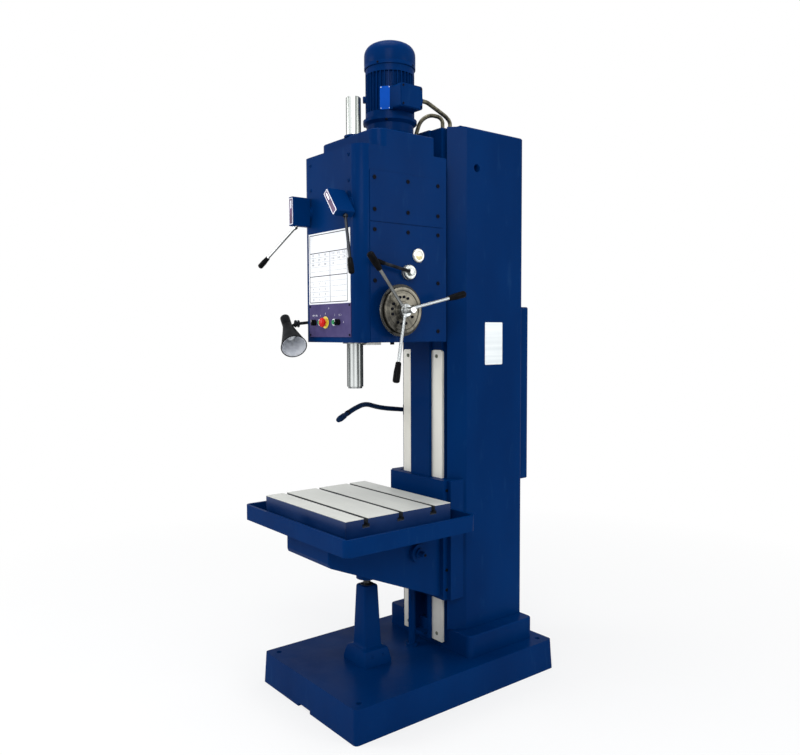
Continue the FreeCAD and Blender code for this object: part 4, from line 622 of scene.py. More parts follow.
# Instruction plate. A thin printed aluminium plate on the front cover, ruled in dark lines round a table
# of spindle speeds and feeds. Its header is left blank, and it is pinned at its corners.
printed = Surface("printed_white", 0.38, {"Specular IOR Level": 0.35})
printed.clouded(printed.patches(9), shade(232, 234, 238), shade(243, 244, 246))
printed.gloss(printed.noise(30), 0.32, 0.45)
printed.relief(printed.noise(200), 0.00003)
dress("instruction_plate", printed.material, 0.0004)
ink = Surface("printing_ink", 0.5, {"Specular IOR Level": 0.3})
ink.clouded(ink.noise(80), shade(30, 32, 40), shade(52, 54, 64))
ink.relief(ink.noise(600), 0.00002)
printing_ink = ink.material
PLATE_FACE = -0.4495


def ruled(shape, x0, z0, x1, z1, width=0.0014):
    """A printed line along the plate's face, upright or level."""
    level = abs(x1 - x0) > abs(z1 - z0)
    span_x = abs(x1 - x0) if level else width
    span_z = width if level else abs(z1 - z0)
    middle = place_on(((x0 + x1) / 2, PLATE_FACE, (z0 + z1) / 2), RIGHT, UP)
    slab(shape, outline(span_x, span_z, width * 0.1, 1), 0.00012, middle)


rules = bmesh.new()
LEFT_EDGE, RIGHT_EDGE, MIDDLE = -0.135, 0.118, 0.005
RULES_FOOT, RULES_TOP = 1.531, 1.786
for up in (RULES_TOP, 1.718, 1.630, RULES_FOOT):
    ruled(rules, LEFT_EDGE, up, RIGHT_EDGE, up, 0.0032)
for across_at in (LEFT_EDGE, RIGHT_EDGE):
    ruled(rules, across_at, RULES_FOOT, across_at, RULES_TOP, 0.0032)
ruled(rules, MIDDLE, RULES_FOOT, MIDDLE, 1.718, 0.0026)
for left, right in ((LEFT_EDGE, MIDDLE), (MIDDLE, RIGHT_EDGE)):
    for n in range(1, 5):
        ruled(rules, left + 0.006, 1.630 + 0.0176 * n, right - 0.006, 1.630 + 0.0176 * n, 0.0007)
        ruled(rules, left + 0.006, RULES_FOOT + 0.0198 * n, right - 0.006, RULES_FOOT + 0.0198 * n, 0.0007)
fit("instruction_rules", rules, printing_ink, "frame", "black_steel")


def lettered(name, words, finish, body, slot):
    """Printed figures and words, each with the matrix of its middle and its height."""
    shape = bmesh.new()
    for text, height, matrix in words:
        curve = bpy.data.curves.new(name, "FONT")
        curve.body = text
        curve.size = height * 1.4
        curve.align_x = "CENTER"
        curve.align_y = "CENTER"
        curve.resolution_u = 3
        curve.extrude = 0.00006
        carrier = bpy.data.objects.new(name, curve)
        mesh = bpy.data.meshes.new_from_object(carrier)
        mesh.transform(matrix)
        shape.from_mesh(mesh)
        bpy.data.objects.remove(carrier)
        bpy.data.meshes.remove(mesh)
    return fit(name, shape, finish, body, slot)


SPEEDS = ("50", "72", "105", "150", "220", "320", "460", "670", "980")
FEEDS = ("0.10", "0.15", "0.22", "0.32", "0.48", "0.70", "1.0")
words = []
for row in range(5):
    for column in range(3):
        n = row * 3 + column
        if n < len(SPEEDS):
            words.append((SPEEDS[n], 0.008, (-0.112 + 0.042 * column, 1.709 - 0.0176 * row)))
        if n < len(FEEDS):
            words.append((FEEDS[n], 0.008, (0.026 + 0.036 * column, 1.709 - 0.0176 * row)))
        if row:
            words.append((str(3 * row + column - 2), 0.008, (-0.112 + 0.042 * column, 1.6207 - 0.0198 * row)))
lettered("instruction_figures",
         [(text, height, place_on((x, PLATE_FACE, z), RIGHT, UP)) for text, height, (x, z) in words],
         printing_ink, "frame", "black_steel")
repeat("instruction_plate_pins", rivet, (0.0026, 0.0026, 0.0013),
       [((across_at, PLATE_FACE + 0.0001, up), FRONT, UP) for across_at in (-0.139, 0.130)
        for up in (1.5285, 1.7885)],
       plate_aluminium, "frame", "plate_metal")


# Control panel. A violet anodised plate with two turning selectors, two green buttons in metal bezels,
# and a red mushroom button over a yellow ring.
violet = Surface("violet_panel", 0.42, {"Specular IOR Level": 0.04})
violet.clouded(violet.patches(18, detail=3), shade(64, 57, 98), shade(78, 71, 112))
violet.gloss(violet.noise(60), 0.36, 0.5)
violet.relief(violet.noise(900), 0.00002)
dress("control_panel", violet.material, 0.0005)
marks = Surface("panel_marks", 0.5)
marks.clouded(marks.noise(300), shade(222, 222, 228), shade(242, 242, 246))
panel_marks = marks.material
PANEL_FACE, CONTROL_Z = -0.4511, 1.455
lettered("panel_figures", [(text, 0.0065, place_on((x, PANEL_FACE, z), RIGHT, UP)) for text, x, z in (
    ("OFF  ON", -0.100, 1.481), ("I", -0.061, 1.481), ("0", -0.004, 1.507), ("0", -0.026, 1.487),
    ("I", 0.035, 1.481), ("0   1", 0.072, 1.481), ("2", 0.094, 1.455))], panel_marks, "frame", "panel_metal")
repeat("panel_screws", socket_screw, (0.004, 0.004, 0.002),
       [((across_at, PANEL_FACE + 0.0002, up), FRONT, UP) for across_at in (-0.133, 0.133)
        for up in (1.408, 1.516)],
       black_oxide, "frame", "panel_metal")


def moulded(name, low, high, roughness, coat=0.2, mirror=0.4):
    """Moulded plastic: an even colour with a faint flow, and a fine tool-made grain."""
    plastic = Surface(name, roughness,
                      {"Coat Weight": coat, "Coat Roughness": 0.1, "Specular IOR Level": mirror})
    plastic.clouded(plastic.patches(35, detail=3), low, high)
    plastic.gloss(plastic.noise(90), roughness * 0.85, roughness * 1.2)
    plastic.relief(plastic.noise(1400), 0.00003)
    return plastic.material


black_plastic = moulded("black_plastic", shade(9, 9, 11), shade(18, 19, 22), 0.42, 0.02, 0.03)
green_plastic = moulded("green_plastic", shade(14, 112, 62), shade(34, 150, 88), 0.3, 0.1, 0.1)
red_plastic = moulded("red_plastic", shade(186, 20, 14), shade(214, 32, 22), 0.3, 0.1, 0.1)
yellow_plastic = moulded("yellow_plastic", shade(226, 200, 40), shade(240, 220, 80), 0.4)
for across_at in (-0.061, 0.035):
    bezel = turned(bmesh.new(),
                   ((0.0084, 0.004), (0.0092, 0.0052), (0.0112, 0.0052), (0.0126, 0.004), (0.0126, 0),
                    (0.0084, 0)), aimed((across_at, PANEL_FACE, CONTROL_Z), FRONT), 32)
    fit("left_button_bezel" if across_at < 0 else "right_button_bezel", bezel, plate_aluminium, "frame",
        "plate_metal")
for side, across_at in (("left", -0.061), ("right", 0.035)):
    button = turned(bmesh.new(),
                    ((0, 0.0088), (0.004, 0.0088), (0.0064, 0.0092), (0.0074, 0.0090), (0.0079, 0.0080),
                     (0.008, 0.006), (0.008, -0.018), (0, -0.018)),
                    aimed((across_at, -0.451, CONTROL_Z), FRONT), 32)
    fit(f"{side}_button_cap", button, green_plastic, f"{side}_button", "green_plastic",
        f"{side}_green_button")
for side, across_at in (("left", -0.100), ("right", 0.062)):
    knob = turned(bmesh.new(),
                  ((0, 0.009), (0.0095, 0.009), (0.0106, 0.0082), (0.011, 0.007), (0.0115, 0.0003),
                   (0.005, 0.0003), (0.005, -0.023), (0, -0.023)),
                  aimed((across_at, -0.451, CONTROL_Z), FRONT), 32)
    slab(knob, outline(0.0068, 0.022, 0.0030), 0.0102, place_on((across_at, -0.4588, CONTROL_Z), RIGHT, UP),
         0.0012)
    fit(f"{side}_selector_cap", knob, black_plastic, f"{side}_selector", "black_plastic",
        f"{side}_selector_knob")
    pointer = slab(bmesh.new(), outline(0.0014, 0.0085, 0.0005), 0.0004,
                   place_on((across_at, -0.4689, CONTROL_Z + 0.0053), RIGHT, UP))
    fit(f"{side}_selector_pointer", pointer, panel_marks, f"{side}_selector", "panel_metal")
mushroom = turned(bmesh.new(), (
    (0, 0.0242), (0.006, 0.0240), (0.0105, 0.0230), (0.0142, 0.0212), (0.0168, 0.0188), (0.0178, 0.0165),
    (0.018, 0.0145), (0.0175, 0.0125), (0.0150, 0.0112), (0.0100, 0.0108), (0.0085, 0.0100), (0.005, 0.0100),
    (0.005, -0.018), (0, -0.018)), aimed((-0.026, -0.451, CONTROL_Z), FRONT), 48)
fit("stop_mushroom", mushroom, red_plastic, "stop_button", "red_plastic", "emergency_stop")
dress("emergency_stop_ring", yellow_plastic, 0.0004)


# Sight glass. A screwed-in oil window on the right side: a knurled pale rim round a domed glass, with
# the oil's level showing behind it.
rim = Surface("sight_rim", 0.35, {"Metallic": 0.3})
rim.clouded(rim.patches(70), shade(206, 206, 198), shade(232, 232, 226))
rim.relief(rim.noise(400), 0.00004)
window = Surface("sight_window", 0.15, {"Coat Weight": 0.6, "Coat Roughness": 0.05})
level_line = window.node("ShaderNodeSeparateXYZ", {0: window.place}).outputs[2]
window.clouded(window.span(level_line, 1.6995, 1.7005), shade(226, 212, 150), shade(240, 240, 228))
window.relief(window.noise(60), 0.00006)
sight = aimed((SIDE_FACE, -0.181, 1.703), RIGHT)
dress("sight_glass", rim.material)
fit("sight_rim_ring",
    turned(bmesh.new(), ((0.0165, 0.0088), (0.0172, 0.0096), (0.0222, 0.0096), (0.0250, 0.0070),
                         (0.0252, 0.0004), (0.0165, 0.0004), (0.0165, 0.0088)), sight, 48),
    rim.material, "frame", "plate_metal")
fit("sight_dome", turned(bmesh.new(),
                         ((0, 0.0104), (0.006, 0.0101), (0.011, 0.0093), (0.015, 0.0080), (0.0168, 0.0070),
                          (0.0168, 0.004), (0, 0.004)), sight, 40), window.material, "frame", "sight_window")
repeat("sight_rim_knurls", bar, (0.0046, 0.0016, 0.0007),
       [(place, facing, running) for place, facing, running in
        ring_spots((0.1962, -0.181, 1.703), 0.0249, 36, 0, BACK, UP)], rim.material, "frame", "plate_metal")


# Feed selector. A turned and bevelled steel boss carries a pivoting lever, whose blackened rod has a
# moulded grip.
def turned_steel(name, low, high, axis_y, axis_z, roughness, metallic=0.85, lit_from=(0, 0), dark_from=9.0):
    """Steel faced in a lathe: rings about an axis that runs to the right, and painted reflections in sectors
    round it. It is painted brightest towards one side, as light falling from there, and darker past a
    distance to the right."""
    steel = Surface(name, roughness, {"Metallic": metallic})
    across = steel.node("ShaderNodeSeparateXYZ", {0: steel.place})
    from_y = steel.sum(across.outputs[1], -axis_y)
    from_z = steel.sum(across.outputs[2], -axis_z)
    radius = steel.sum(steel.sum(steel.sum(from_y, 2, "POWER"), steel.sum(from_z, 2, "POWER")), 0.5, "POWER")
    tool = steel.node("ShaderNodeCombineXYZ", {0: radius, 1: across.outputs[0], 2: 0.0})
    rings = steel.node("ShaderNodeTexNoise",
                       {"Vector": tool.outputs[0], "Scale": 900.0, "Detail": 2.0}).outputs["Fac"]
    clouds = steel.noise(22, detail=4)
    outward = steel.node("ShaderNodeCombineXYZ", {0: steel.sum(from_y, radius, "DIVIDE"),
                                                  1: steel.sum(from_z, radius, "DIVIDE"), 2: 0.0}).outputs[0]
    painted_sector_reflection = steel.node("ShaderNodeTexNoise", {"Vector": outward, "Scale": 2.6, "Detail": 3.0}).outputs["Fac"]
    painted_light_side = steel.node("ShaderNodeVectorMath", {0: outward, 1: (*lit_from, 0)},
                         operation="DOT_PRODUCT").outputs[1]
    # Painted light: brighter in sectors towards the lit side, darker away from it.
    painted_light_and_rings = steel.blend(steel.span(steel.sum(painted_sector_reflection, painted_light_side), 0.30, 0.70), low, high)
    painted_light_and_rings = steel.blend(steel.span(clouds, 0.2, 0.8, 0, 0.4), painted_light_and_rings, steel.blend(rings, low, high))
    black = steel.sum(across.outputs[0], dark_from, "GREATER_THAN")
    steel.clouded(black, painted_light_and_rings, steel.blend(clouds, shade(16, 16, 15), shade(44, 43, 39)))
    steel.gloss(clouds, roughness * 0.8, roughness * 1.3)
    steel.relief(rings, 0.00006)
    return steel.material


SELECTOR_Y, SELECTOR_Z = -0.232, 1.638
# The selector's boss carries the painted sector reflections of turned steel.
selector_steel = turned_steel("selector_steel", shade(128, 132, 130), shade(186, 190, 186), SELECTOR_Y,
                              SELECTOR_Z, 0.25)
boss = turned(bmesh.new(), (
    (0.0062, 0.0215), (0.0120, 0.0225), (0.0235, 0.0225), (0.0260, 0.0208), (0.0275, 0.0180),
    (0.0275, 0.0125),
    (0.0262, 0.0118), (0.0262, 0.0098), (0.0275, 0.0090), (0.0275, 0), (0.0062, 0), (0.0062, 0.0215)),
    aimed((SIDE_FACE, SELECTOR_Y, SELECTOR_Z), RIGHT), 56)
fit("feed_selector_boss", boss, selector_steel, "frame", "bright_chrome", "feed_selector_hub")
blackened = Surface("blackened_steel", 0.36, {"Specular IOR Level": 0.04})
blackened.clouded(blackened.patches(40, 0.35, 0.7, detail=4), shade(18, 19, 22), shade(44, 46, 50))
blackened.gloss(blackened.noise(70), 0.28, 0.5)
blackened.relief(blackened.noise(500), 0.00004)
blackened_steel = blackened.material
eye = turned(bmesh.new(),
             ((0, 0.0223), (0.0120, 0.0223), (0.0130, 0.0233), (0.0130, 0.0320), (0.0115, 0.0338),
              (0.0060, 0.0343), (0, 0.0343)), aimed((SIDE_FACE, SELECTOR_Y, SELECTOR_Z), RIGHT), 48)
fit("feed_selector_eye", eye, selector_steel, "feed_selector", "bright_chrome", "feed_selector_lever")


def grip(shape, radius, length, matrix, ribs=5):
    """A moulded grip: a slight swell, shallow finger ribs near its root, and a round end."""
    profile = [(0, 0), (radius * 0.70, 0), (radius * 0.76, length * 0.015), (radius * 0.80, length * 0.06)]
    for n in range(ribs):
        along = 0.10 + 0.055 * n
        profile += [(radius * (0.84 + 0.02 * n), length * along),
                    (radius * (0.80 + 0.02 * n), length * (along + 0.022)),
                    (radius * (0.85 + 0.02 * n), length * (along + 0.044))]
    profile += [(radius * 0.97, length * 0.40), (radius, length * 0.55), (radius, length * 0.90)]
    for step in range(1, 6):
        turn = math.radians(18 * step)
        profile.append((radius * (0.45 + 0.55 * math.cos(turn)), length * (0.90 + 0.10 * math.sin(turn))))
    profile.append((0, length))
    return turned(shape, profile, matrix, 32)


phenolic = moulded("phenolic_grip", shade(8, 8, 9), shade(17, 17, 19), 0.36, 0.02, 0.02)
LEVER_ROOT = (0.2213, SELECTOR_Y, SELECTOR_Z)
LEVER_TURN = math.radians(168.8)
lever_way = Vector((0, math.cos(LEVER_TURN), math.sin(LEVER_TURN)))
fit("feed_selector_rod",
    turned(bmesh.new(), ((0, 0.0105), (0.0050, 0.0105), (0.0060, 0.0125), (0.0060, 0.140), (0, 0.140)),
           aimed(LEVER_ROOT, lever_way), 28),
    blackened_steel, "feed_selector", "black_steel")
fit("feed_selector_handle",
    grip(bmesh.new(), 0.0095, 0.061, aimed(LEVER_ROOT, lever_way, 0.129)),
    phenolic, "feed_selector", "black_plastic", "feed_selector_grip")


# Feed wheel. A turned iron dial with screwed-down segments runs against a thin ring on the head's boss;
# a hub on its shaft holds three bright rods with moulded grips, which feed the quill by hand.
FEED_Y, FEED_Z = -0.290, 1.496
# Painted light and shade: the dial is painted lighter towards the rear and top, the ring darker towards the
# rear and top, and the rods darker towards the front and top, a painted reflection on the upper rod.
dial_iron = turned_steel("dial_iron", shade(32, 31, 28), shade(120, 116, 104), FEED_Y, FEED_Z, 0.32, 0.75,
                         (0.10, 0.16))
# The ring's front face is painted darker past a distance to the right.
flange_iron = turned_steel("flange_iron", shade(42, 42, 38), shade(126, 124, 114), FEED_Y, FEED_Z, 0.28, 0.75,
                           (-0.15, -0.05), SIDE_FACE + 0.0385)
rod_steel = turned_steel("rod_steel", shade(78, 77, 72), shade(196, 202, 205), FEED_Y, FEED_Z, 0.24, 0.85,
                         (0.15, -0.1))
feed = aimed((SIDE_FACE, FEED_Y, FEED_Z), RIGHT)
flange = turned(bmesh.new(), (
    (0.0152, 0), (0.0600, 0), (0.0600, 0.0280), (0.0620, 0.0315), (0.0660, 0.0320), (0.0935, 0.0320),
    (0.0950, 0.0332), (0.0950, 0.0388), (0.0938, 0.0400), (0.0152, 0.0400), (0.0152, 0)), feed, 96)
fit("feed_flange", flange, flange_iron, "frame", "dial_steel", "feed_dial_flange")
dial = turned(bmesh.new(), (
    (0, -0.028), (0.0150, -0.028), (0.0150, 0.0403), (0.0800, 0.0403), (0.0800, 0.0425), (0.0840, 0.0425),
    (0.0840, 0.0485), (0.0825, 0.0503), (0.0735, 0.0503), (0.0720, 0.0498), (0.0700, 0.0463),
    (0.0620, 0.0455),
    (0.0615, 0.0463), (0.0340, 0.0463), (0.0315, 0.0498), (0.0300, 0.0503), (0, 0.0503)), feed, 96)
fit("feed_dial_body", dial, dial_iron, "feed_wheel", "dial_steel", "feed_dial")
cut = Surface("graduation_cut", 0.6)
cut.clouded(cut.noise(300), shade(18, 18, 17), shade(36, 35, 32))
graduation = cut.material
for name, every, inner, length in (("ring_graduations", 100, 0.0895, 0.005),
                                   ("ring_long_graduations", 20, 0.0880, 0.009)):
    repeat(name, bar, (length, 0.0007, 0.0003),
           ring_spots((SIDE_FACE + 0.0399, FEED_Y, FEED_Z), inner, every, 0, BACK, UP, RIGHT),
           graduation, "frame", "black_steel")
repeat("feed_dial_screws", socket_screw, (0.0052, 0.0052, 0.004),
       [spot for aside in (-22, 0, 22)
        for spot in ring_spots((SIDE_FACE + 0.0461, FEED_Y, FEED_Z), 0.049, 4, 84 + aside, BACK, UP, RIGHT)],
       black_oxide, "feed_wheel", "black_steel")
hub = turned(bmesh.new(), (
    (0, 0.0703), (0.0124, 0.0703), (0.0118, 0.0712), (0.0118, 0.1085), (0.0100, 0.1103), (0, 0.1103)), feed,
    48)
# The hub carries painted reflections along its length.
hub_steel = painted_reflection_steel("hub_steel", shade(176, 180, 180), shade(236, 240, 240), 0.2, feed @ Vector(), RIGHT)
fit("feed_hub_body", hub, hub_steel, "feed_wheel", "bright_chrome", "feed_hub")
dress("feed_lever_rods", rod_steel)
ROD_LEAN = math.radians(8)


def along_rods(distance):
    """Places on the three rods, which lean out from the dial, each facing down its rod."""
    spots = []
    for root, outward, running in ring_spots((SIDE_FACE + 0.0603, FEED_Y, FEED_Z), 0, 3, 14, BACK, UP):
        way = outward * math.cos(ROD_LEAN) + Vector(RIGHT) * math.sin(ROD_LEAN)
        spots.append((root + way * distance, way, running))
    return spots


ferrule = template("ferrule",
                   turned(bmesh.new(), ((0.5, 0), (1, 0), (1, 0.75), (0.85, 1), (0.5, 1), (0.5, 0)),
                          Matrix(), 32))
repeat("feed_rod_ferrules", ferrule, (0.0078, 0.0078, 0.010), along_rods(0.0225),
       rod_steel, "feed_wheel", "bright_chrome")
handle = template("feed_handle", grip(bmesh.new(), 1, 1, Matrix(), 4))
handles = repeat("feed_handles", handle, (0.013, 0.013, 0.075), along_rods(0.195),
                 phenolic, "feed_wheel", "black_plastic")
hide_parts("feed_lever_grips")


# Speed-change levers. Each is a painted block on a shaft through the front cover, with a blank plate
# in a bright frame, and a leaning steel rod with a moulded grip. Both rods are the same steel; the left
# one is painted with bright reflections and the right one with dark painted shade.
frame_metal = Surface("label_frame", 0.3, {"Metallic": 0.6})
frame_metal.clouded(frame_metal.noise(90), shade(190, 192, 204), shade(226, 228, 236))
frame_metal.relief(frame_metal.noise(300), 0.00004)
plum = Surface("label_plum", 0.35, {"Specular IOR Level": 0.35})
plum.clouded(plum.patches(40), shade(60, 22, 62), shade(86, 44, 96))
plum.relief(plum.noise(400), 0.00002)
HUB_FRONT = 0.0740
for side, sign, turn, swing, lean, length, set_back in (
    ("left", -1, 0, 56.1, 10, 0.258, 0.052),
    ("right", 1, -37, -23.2, 9.3, 0.235, 0.034),
):
    dress(f"{side}_shift_hub", head_enamel, 0.003)
    pivot = Vector((sign * 0.135, -0.4563, 1.875))
    turning = Matrix.Rotation(math.radians(turn), 4, "Y")
    held = Matrix.Translation(pivot) @ turning
    face = held @ place_on((0, -HUB_FRONT, 0), RIGHT, UP)
    fit(f"{side}_shift_label", slab(bmesh.new(), outline(0.021, 0.094, 0.002), 0.0010, face),
        plum.material, f"{side}_shift_lever", "panel_metal")
    border = bmesh.new()
    for aside in (-0.01175, 0.01175):
        slab(border, outline(0.0025, 0.0985, 0.0006, 1), 0.0018, face @ Matrix.Translation((aside, 0, 0)),
             0.0004)
    for rise in (-0.048, 0.048):
        slab(border, outline(0.021, 0.0025, 0.0006, 1), 0.0018, face @ Matrix.Translation((0, rise, 0)),
             0.0004)
    fit(f"{side}_shift_label_frame", border, frame_metal.material, f"{side}_shift_lever", "plate_metal")
    # A bright metal strip on the label is a painted highlight.
    label_highlight_strip = slab(bmesh.new(), outline(0.007, 0.030, 0.002), 0.0004,
                 face @ Matrix.Translation((0, 0.026, 0.001)))
    fit(f"{side}_shift_label_mark", label_highlight_strip, frame_metal.material, f"{side}_shift_lever", "plate_metal")
    washer = turned(bmesh.new(), ((0.0102, -0.0001), (0.0235, -0.0001), (0.0250, -0.0012), (0.0250, -0.0040),
                                  (0.0102, -0.0040)), aimed((sign * 0.135, -0.4523, 1.875), FRONT), 40)
    fit(f"{side}_shift_boss_ring", washer, head_enamel, "frame", "blue_enamel")
    swing, lean = math.radians(swing), math.radians(lean)
    way = Vector((-math.sin(swing) * math.cos(lean), -math.sin(lean), -math.cos(swing) * math.cos(lean)))
    mouth = held @ Vector((0, -set_back, -0.0545))
    # Painted light: the left rod's steel is given bright painted reflections, the right rod's painted shade.
    if sign < 0:
        edge, middle = shade(52, 55, 55), shade(230, 234, 234)
    else:
        edge, middle = shade(14, 17, 24), shade(82, 86, 94)
    shift_steel = painted_reflection_steel(f"{side}_rod_steel", edge, middle, 0.22, mouth, way, 0)
    dress(f"{side}_shift_rod", shift_steel)
    fit(f"{side}_shift_nut",
        turned(bmesh.new(), ((0.0056, 0), (0.0098, 0, 1), (0.0098, 0.007, 1), (0.0085, 0.008),
                             (0.0056, 0.008), (0.0056, 0)), aimed(mouth, way, 0.0035), 24, 6),
        shift_steel, f"{side}_shift_lever", "bright_chrome")
    fit(f"{side}_shift_handle", grip(bmesh.new(), 0.0108, 0.060, aimed(mouth, way, length - 0.060)),
        phenolic, f"{side}_shift_lever", "black_plastic", f"{side}_shift_grip")


# Work lamp. A lug on the head's left front corner holds a swinging blackened arm, whose clamped knuckle
# carries a spun steel shade: black outside, pale inside, with a ceramic lamp holder and a plain bulb.
for node, edge in (("lamp_bracket", 0.0015), ("lamp_arm", 0)):
    dress(node, blackened_steel, edge)
repeat("lamp_bracket_screws", socket_screw, (0.004, 0.004, 0.003),
       [((-0.199, along, 1.460 + rise), LEFT, UP) for along in (-0.398, -0.362) for rise in (-0.021, 0.021)],
       black_oxide, "frame", "black_steel")
LAMP_CROWN = Vector((-0.2898, -0.4751, 1.4778))
LAMP_WAY = Vector((0.7866, -0.2586, -0.5606)).normalized()
shade_black = Surface("lamp_shade_paint", 0.4, {"Specular IOR Level": 0.02, "Coat Weight": 0.01})
from_crown = shade_black.node("ShaderNodeVectorMath", {0: shade_black.place, 1: tuple(LAMP_CROWN)},
                              operation="SUBTRACT")
along_lamp = shade_black.node("ShaderNodeVectorMath", {0: from_crown.outputs[0], 1: tuple(LAMP_WAY)},
                              operation="DOT_PRODUCT").outputs[1]
spun = shade_black.node("ShaderNodeTexNoise",
                        {"Vector": shade_black.node("ShaderNodeCombineXYZ", {0: along_lamp}).outputs[0],
                         "Scale": 420.0}).outputs["Fac"]
shade_black.clouded(shade_black.patches(30, 0.35, 0.7, detail=4), shade(8, 9, 11), shade(22, 24, 27))
shade_black.gloss(shade_black.noise(60), 0.34, 0.52)
shade_black.relief(spun, 0.00012)
dress("lamp_shade", shade_black.material)
lining = Surface("lamp_lining", 0.5, {"Specular IOR Level": 0.3})
lining.clouded(lining.patches(26, detail=4), shade(196, 199, 206), shade(220, 222, 226))
lining.gloss(lining.noise(60), 0.4, 0.6)
lining.relief(lining.noise(300), 0.00005)
LINING = ((0.0162, 0.0040), (0.0162, 0.060), (0.0186, 0.074), (0.0212, 0.090), (0.0262, 0.112),
          (0.0322, 0.1395), (0.0398, 0.171), (0.0470, 0.2015))
inner = turned(bmesh.new(),
               LINING + tuple((radius - 0.0006, rise) for radius, rise in reversed(LINING)) + LINING[:1],
               aimed(LAMP_CROWN, LAMP_WAY), 64)
fit("lamp_lining", inner, lining.material, "lamp_head", "lamp_black")
rolled = turned(bmesh.new(), [(0.0496 + 0.0012 * math.cos(math.radians(45 * n)),
                               0.2022 + 0.0012 * math.sin(math.radians(45 * n)))
                              for n in range(9)], aimed(LAMP_CROWN, LAMP_WAY), 64)
fit("lamp_shade_rim", rolled, shade_black.material, "lamp_head", "lamp_black")
ceramic = Surface("lamp_ceramic", 0.3, {"Coat Weight": 0.4, "Coat Roughness": 0.1})
ceramic.clouded(ceramic.noise(60), shade(214, 210, 198), shade(232, 229, 220))
ceramic.relief(ceramic.noise(200), 0.00005)
dress("lamp_socket", ceramic.material)
bulb = Surface("lamp_bulb_glass", 0.22,
               {"Coat Weight": 0.5, "Coat Roughness": 0.05, "Transmission Weight": 0.15})
bulb.clouded(bulb.noise(40), shade(226, 230, 232), shade(242, 244, 244))
bulb.relief(bulb.noise(90), 0.00003)
dress("lamp_bulb", bulb.material)
# The knuckle screw carries painted reflections along it.
knuckle_steel = painted_reflection_steel("knuckle_steel", shade(120, 124, 126), shade(170, 173, 174), 0.3)
LAMP_KNUCKLE = (-0.212, -0.465, 1.452)
for aside in (-1, 1):
    cheek = turned(bmesh.new(),
                   ((0, 0.0025), (0.0135, 0.0025), (0.0145, 0.0035), (0.0145, 0.0080), (0.0130, 0.0095),
                    (0, 0.0095)), aimed(LAMP_KNUCKLE, (aside * 0.312, aside * 0.950, 0)), 40)
    fit("lamp_knuckle_front" if aside < 0 else "lamp_knuckle_back", cheek, blackened_steel, "lamp_arm",
        "black_steel")
fit("lamp_knuckle_screw",
    turned(bmesh.new(), ((0, 0.0080), (0.0058, 0.0080, 1), (0.0058, 0.0125, 1), (0.005, 0.0135),
                         (0, 0.0135)), aimed(LAMP_KNUCKLE, UP), 24, 6),
    knuckle_steel, "lamp_arm", "bright_chrome")


# Coolant line. A bent pipe in a dark blue sleeve comes from a block on the column's left side and carries
# the nozzle that wets the drill; a union nut joins the two.
coolant_black = Surface("coolant_black", 0.36, {"Specular IOR Level": 0.03})
coolant_black.clouded(coolant_black.patches(30, 0.35, 0.7, detail=4), shade(7, 26, 54), shade(16, 38, 68))
coolant_black.gloss(coolant_black.noise(50), 0.3, 0.48)
coolant_black.relief(coolant_black.noise(260), 0.00006)
for node, edge in (("coolant_pipe", 0), ("coolant_nozzle", 0), ("coolant_pipe_block", 0.0012)):
    dress(node, coolant_black.material, edge)
for node, thickness in (("coolant_pipe", 0.0022), ("coolant_nozzle", 0.0030)):
    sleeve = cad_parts[node].modifiers
    sleeve.new("joined_corners", "WELD").merge_threshold = 0.00001
    rubber = sleeve.new("rubber_sleeve", "SOLIDIFY")
    rubber.thickness = thickness
    rubber.offset = 1
repeat("coolant_block_screws", socket_screw, (0.0038, 0.0038, 0.003),
       [((-0.228, 0.095, rise), LEFT, UP) for rise in (1.0605, 1.0915)], black_oxide, "frame", "black_steel")
repeat("coolant_union", gland_nut, (0.0125, 0.0125, 0.012),
       [((-0.1315, -0.2795, 1.0935), Vector((-0.11, -0.342, 1.07)) - Vector((-0.141, -0.25, 1.104)), UP)],
       black_oxide, "frame", "coolant_black")


# Knee. A cast bracket with a sloping underside slides on the column's ways; its saddle's cheeks wrap
# their edges, and cap screws hold the gib strips on the right.
dress("knee_casting", cast_enamel, 0.003)
repeat("gib_screws", socket_screw, (0.0065, 0.0065, 0.003),
       [((0.1700, -0.017, rise), RIGHT, UP) for rise in (0.39, 0.47, 0.70, 0.79)], black_oxide, "knee",
       "black_steel")
dress("elevating_shaft", cast_enamel, 0.0008)
repeat("elevating_shaft_screw", socket_screw, (0.0055, 0.0055, 0.003), [((0.2019, -0.155, 0.562), RIGHT, UP)],
       black_oxide, "knee", "black_steel")


# Coolant trough. A shallow cast tray with rounded corners on top of the knee, which catches what runs
# off the table.
tray_enamel = enamel("tray_enamel", 480, 0.0006)
dress("coolant_trough", tray_enamel, 0.002)


# Work table. A planed cast-iron block with three T-slots, bare on top where work is clamped and
# painted down its outer sides. Planing leaves fine lines along it, and oil has stained it. Painted
# shade darkens the inside of its slots.
table_iron = Surface("table_iron", 0.4, {"Specular IOR Level": 0.3})
position = table_iron.node("ShaderNodeSeparateXYZ", {0: table_iron.place})
from_middle = table_iron.sum(position.outputs[1], 0.335)
outer_x = table_iron.sum(table_iron.sum(position.outputs[0], 0, "ABSOLUTE"), 0.2797, "GREATER_THAN")
outer_y = table_iron.sum(table_iron.sum(from_middle, 0, "ABSOLUTE"), 0.2397, "GREATER_THAN")
below_top = table_iron.sum(position.outputs[2], 0.7700, "LESS_THAN")
outside = table_iron.sum(outer_x, outer_y, "MAXIMUM")
planed = table_iron.noise(260, (0.02, 1, 1), 3)
stains = table_iron.noise(6, detail=5)
spots = table_iron.noise(38, detail=4)
bare = table_iron.blend(table_iron.span(stains, 0.3, 0.7), shade(196, 197, 190), shade(212, 213, 206))
bare = table_iron.blend(table_iron.span(planed, 0.35, 0.75, 0, 0.25), bare, shade(168, 172, 166))
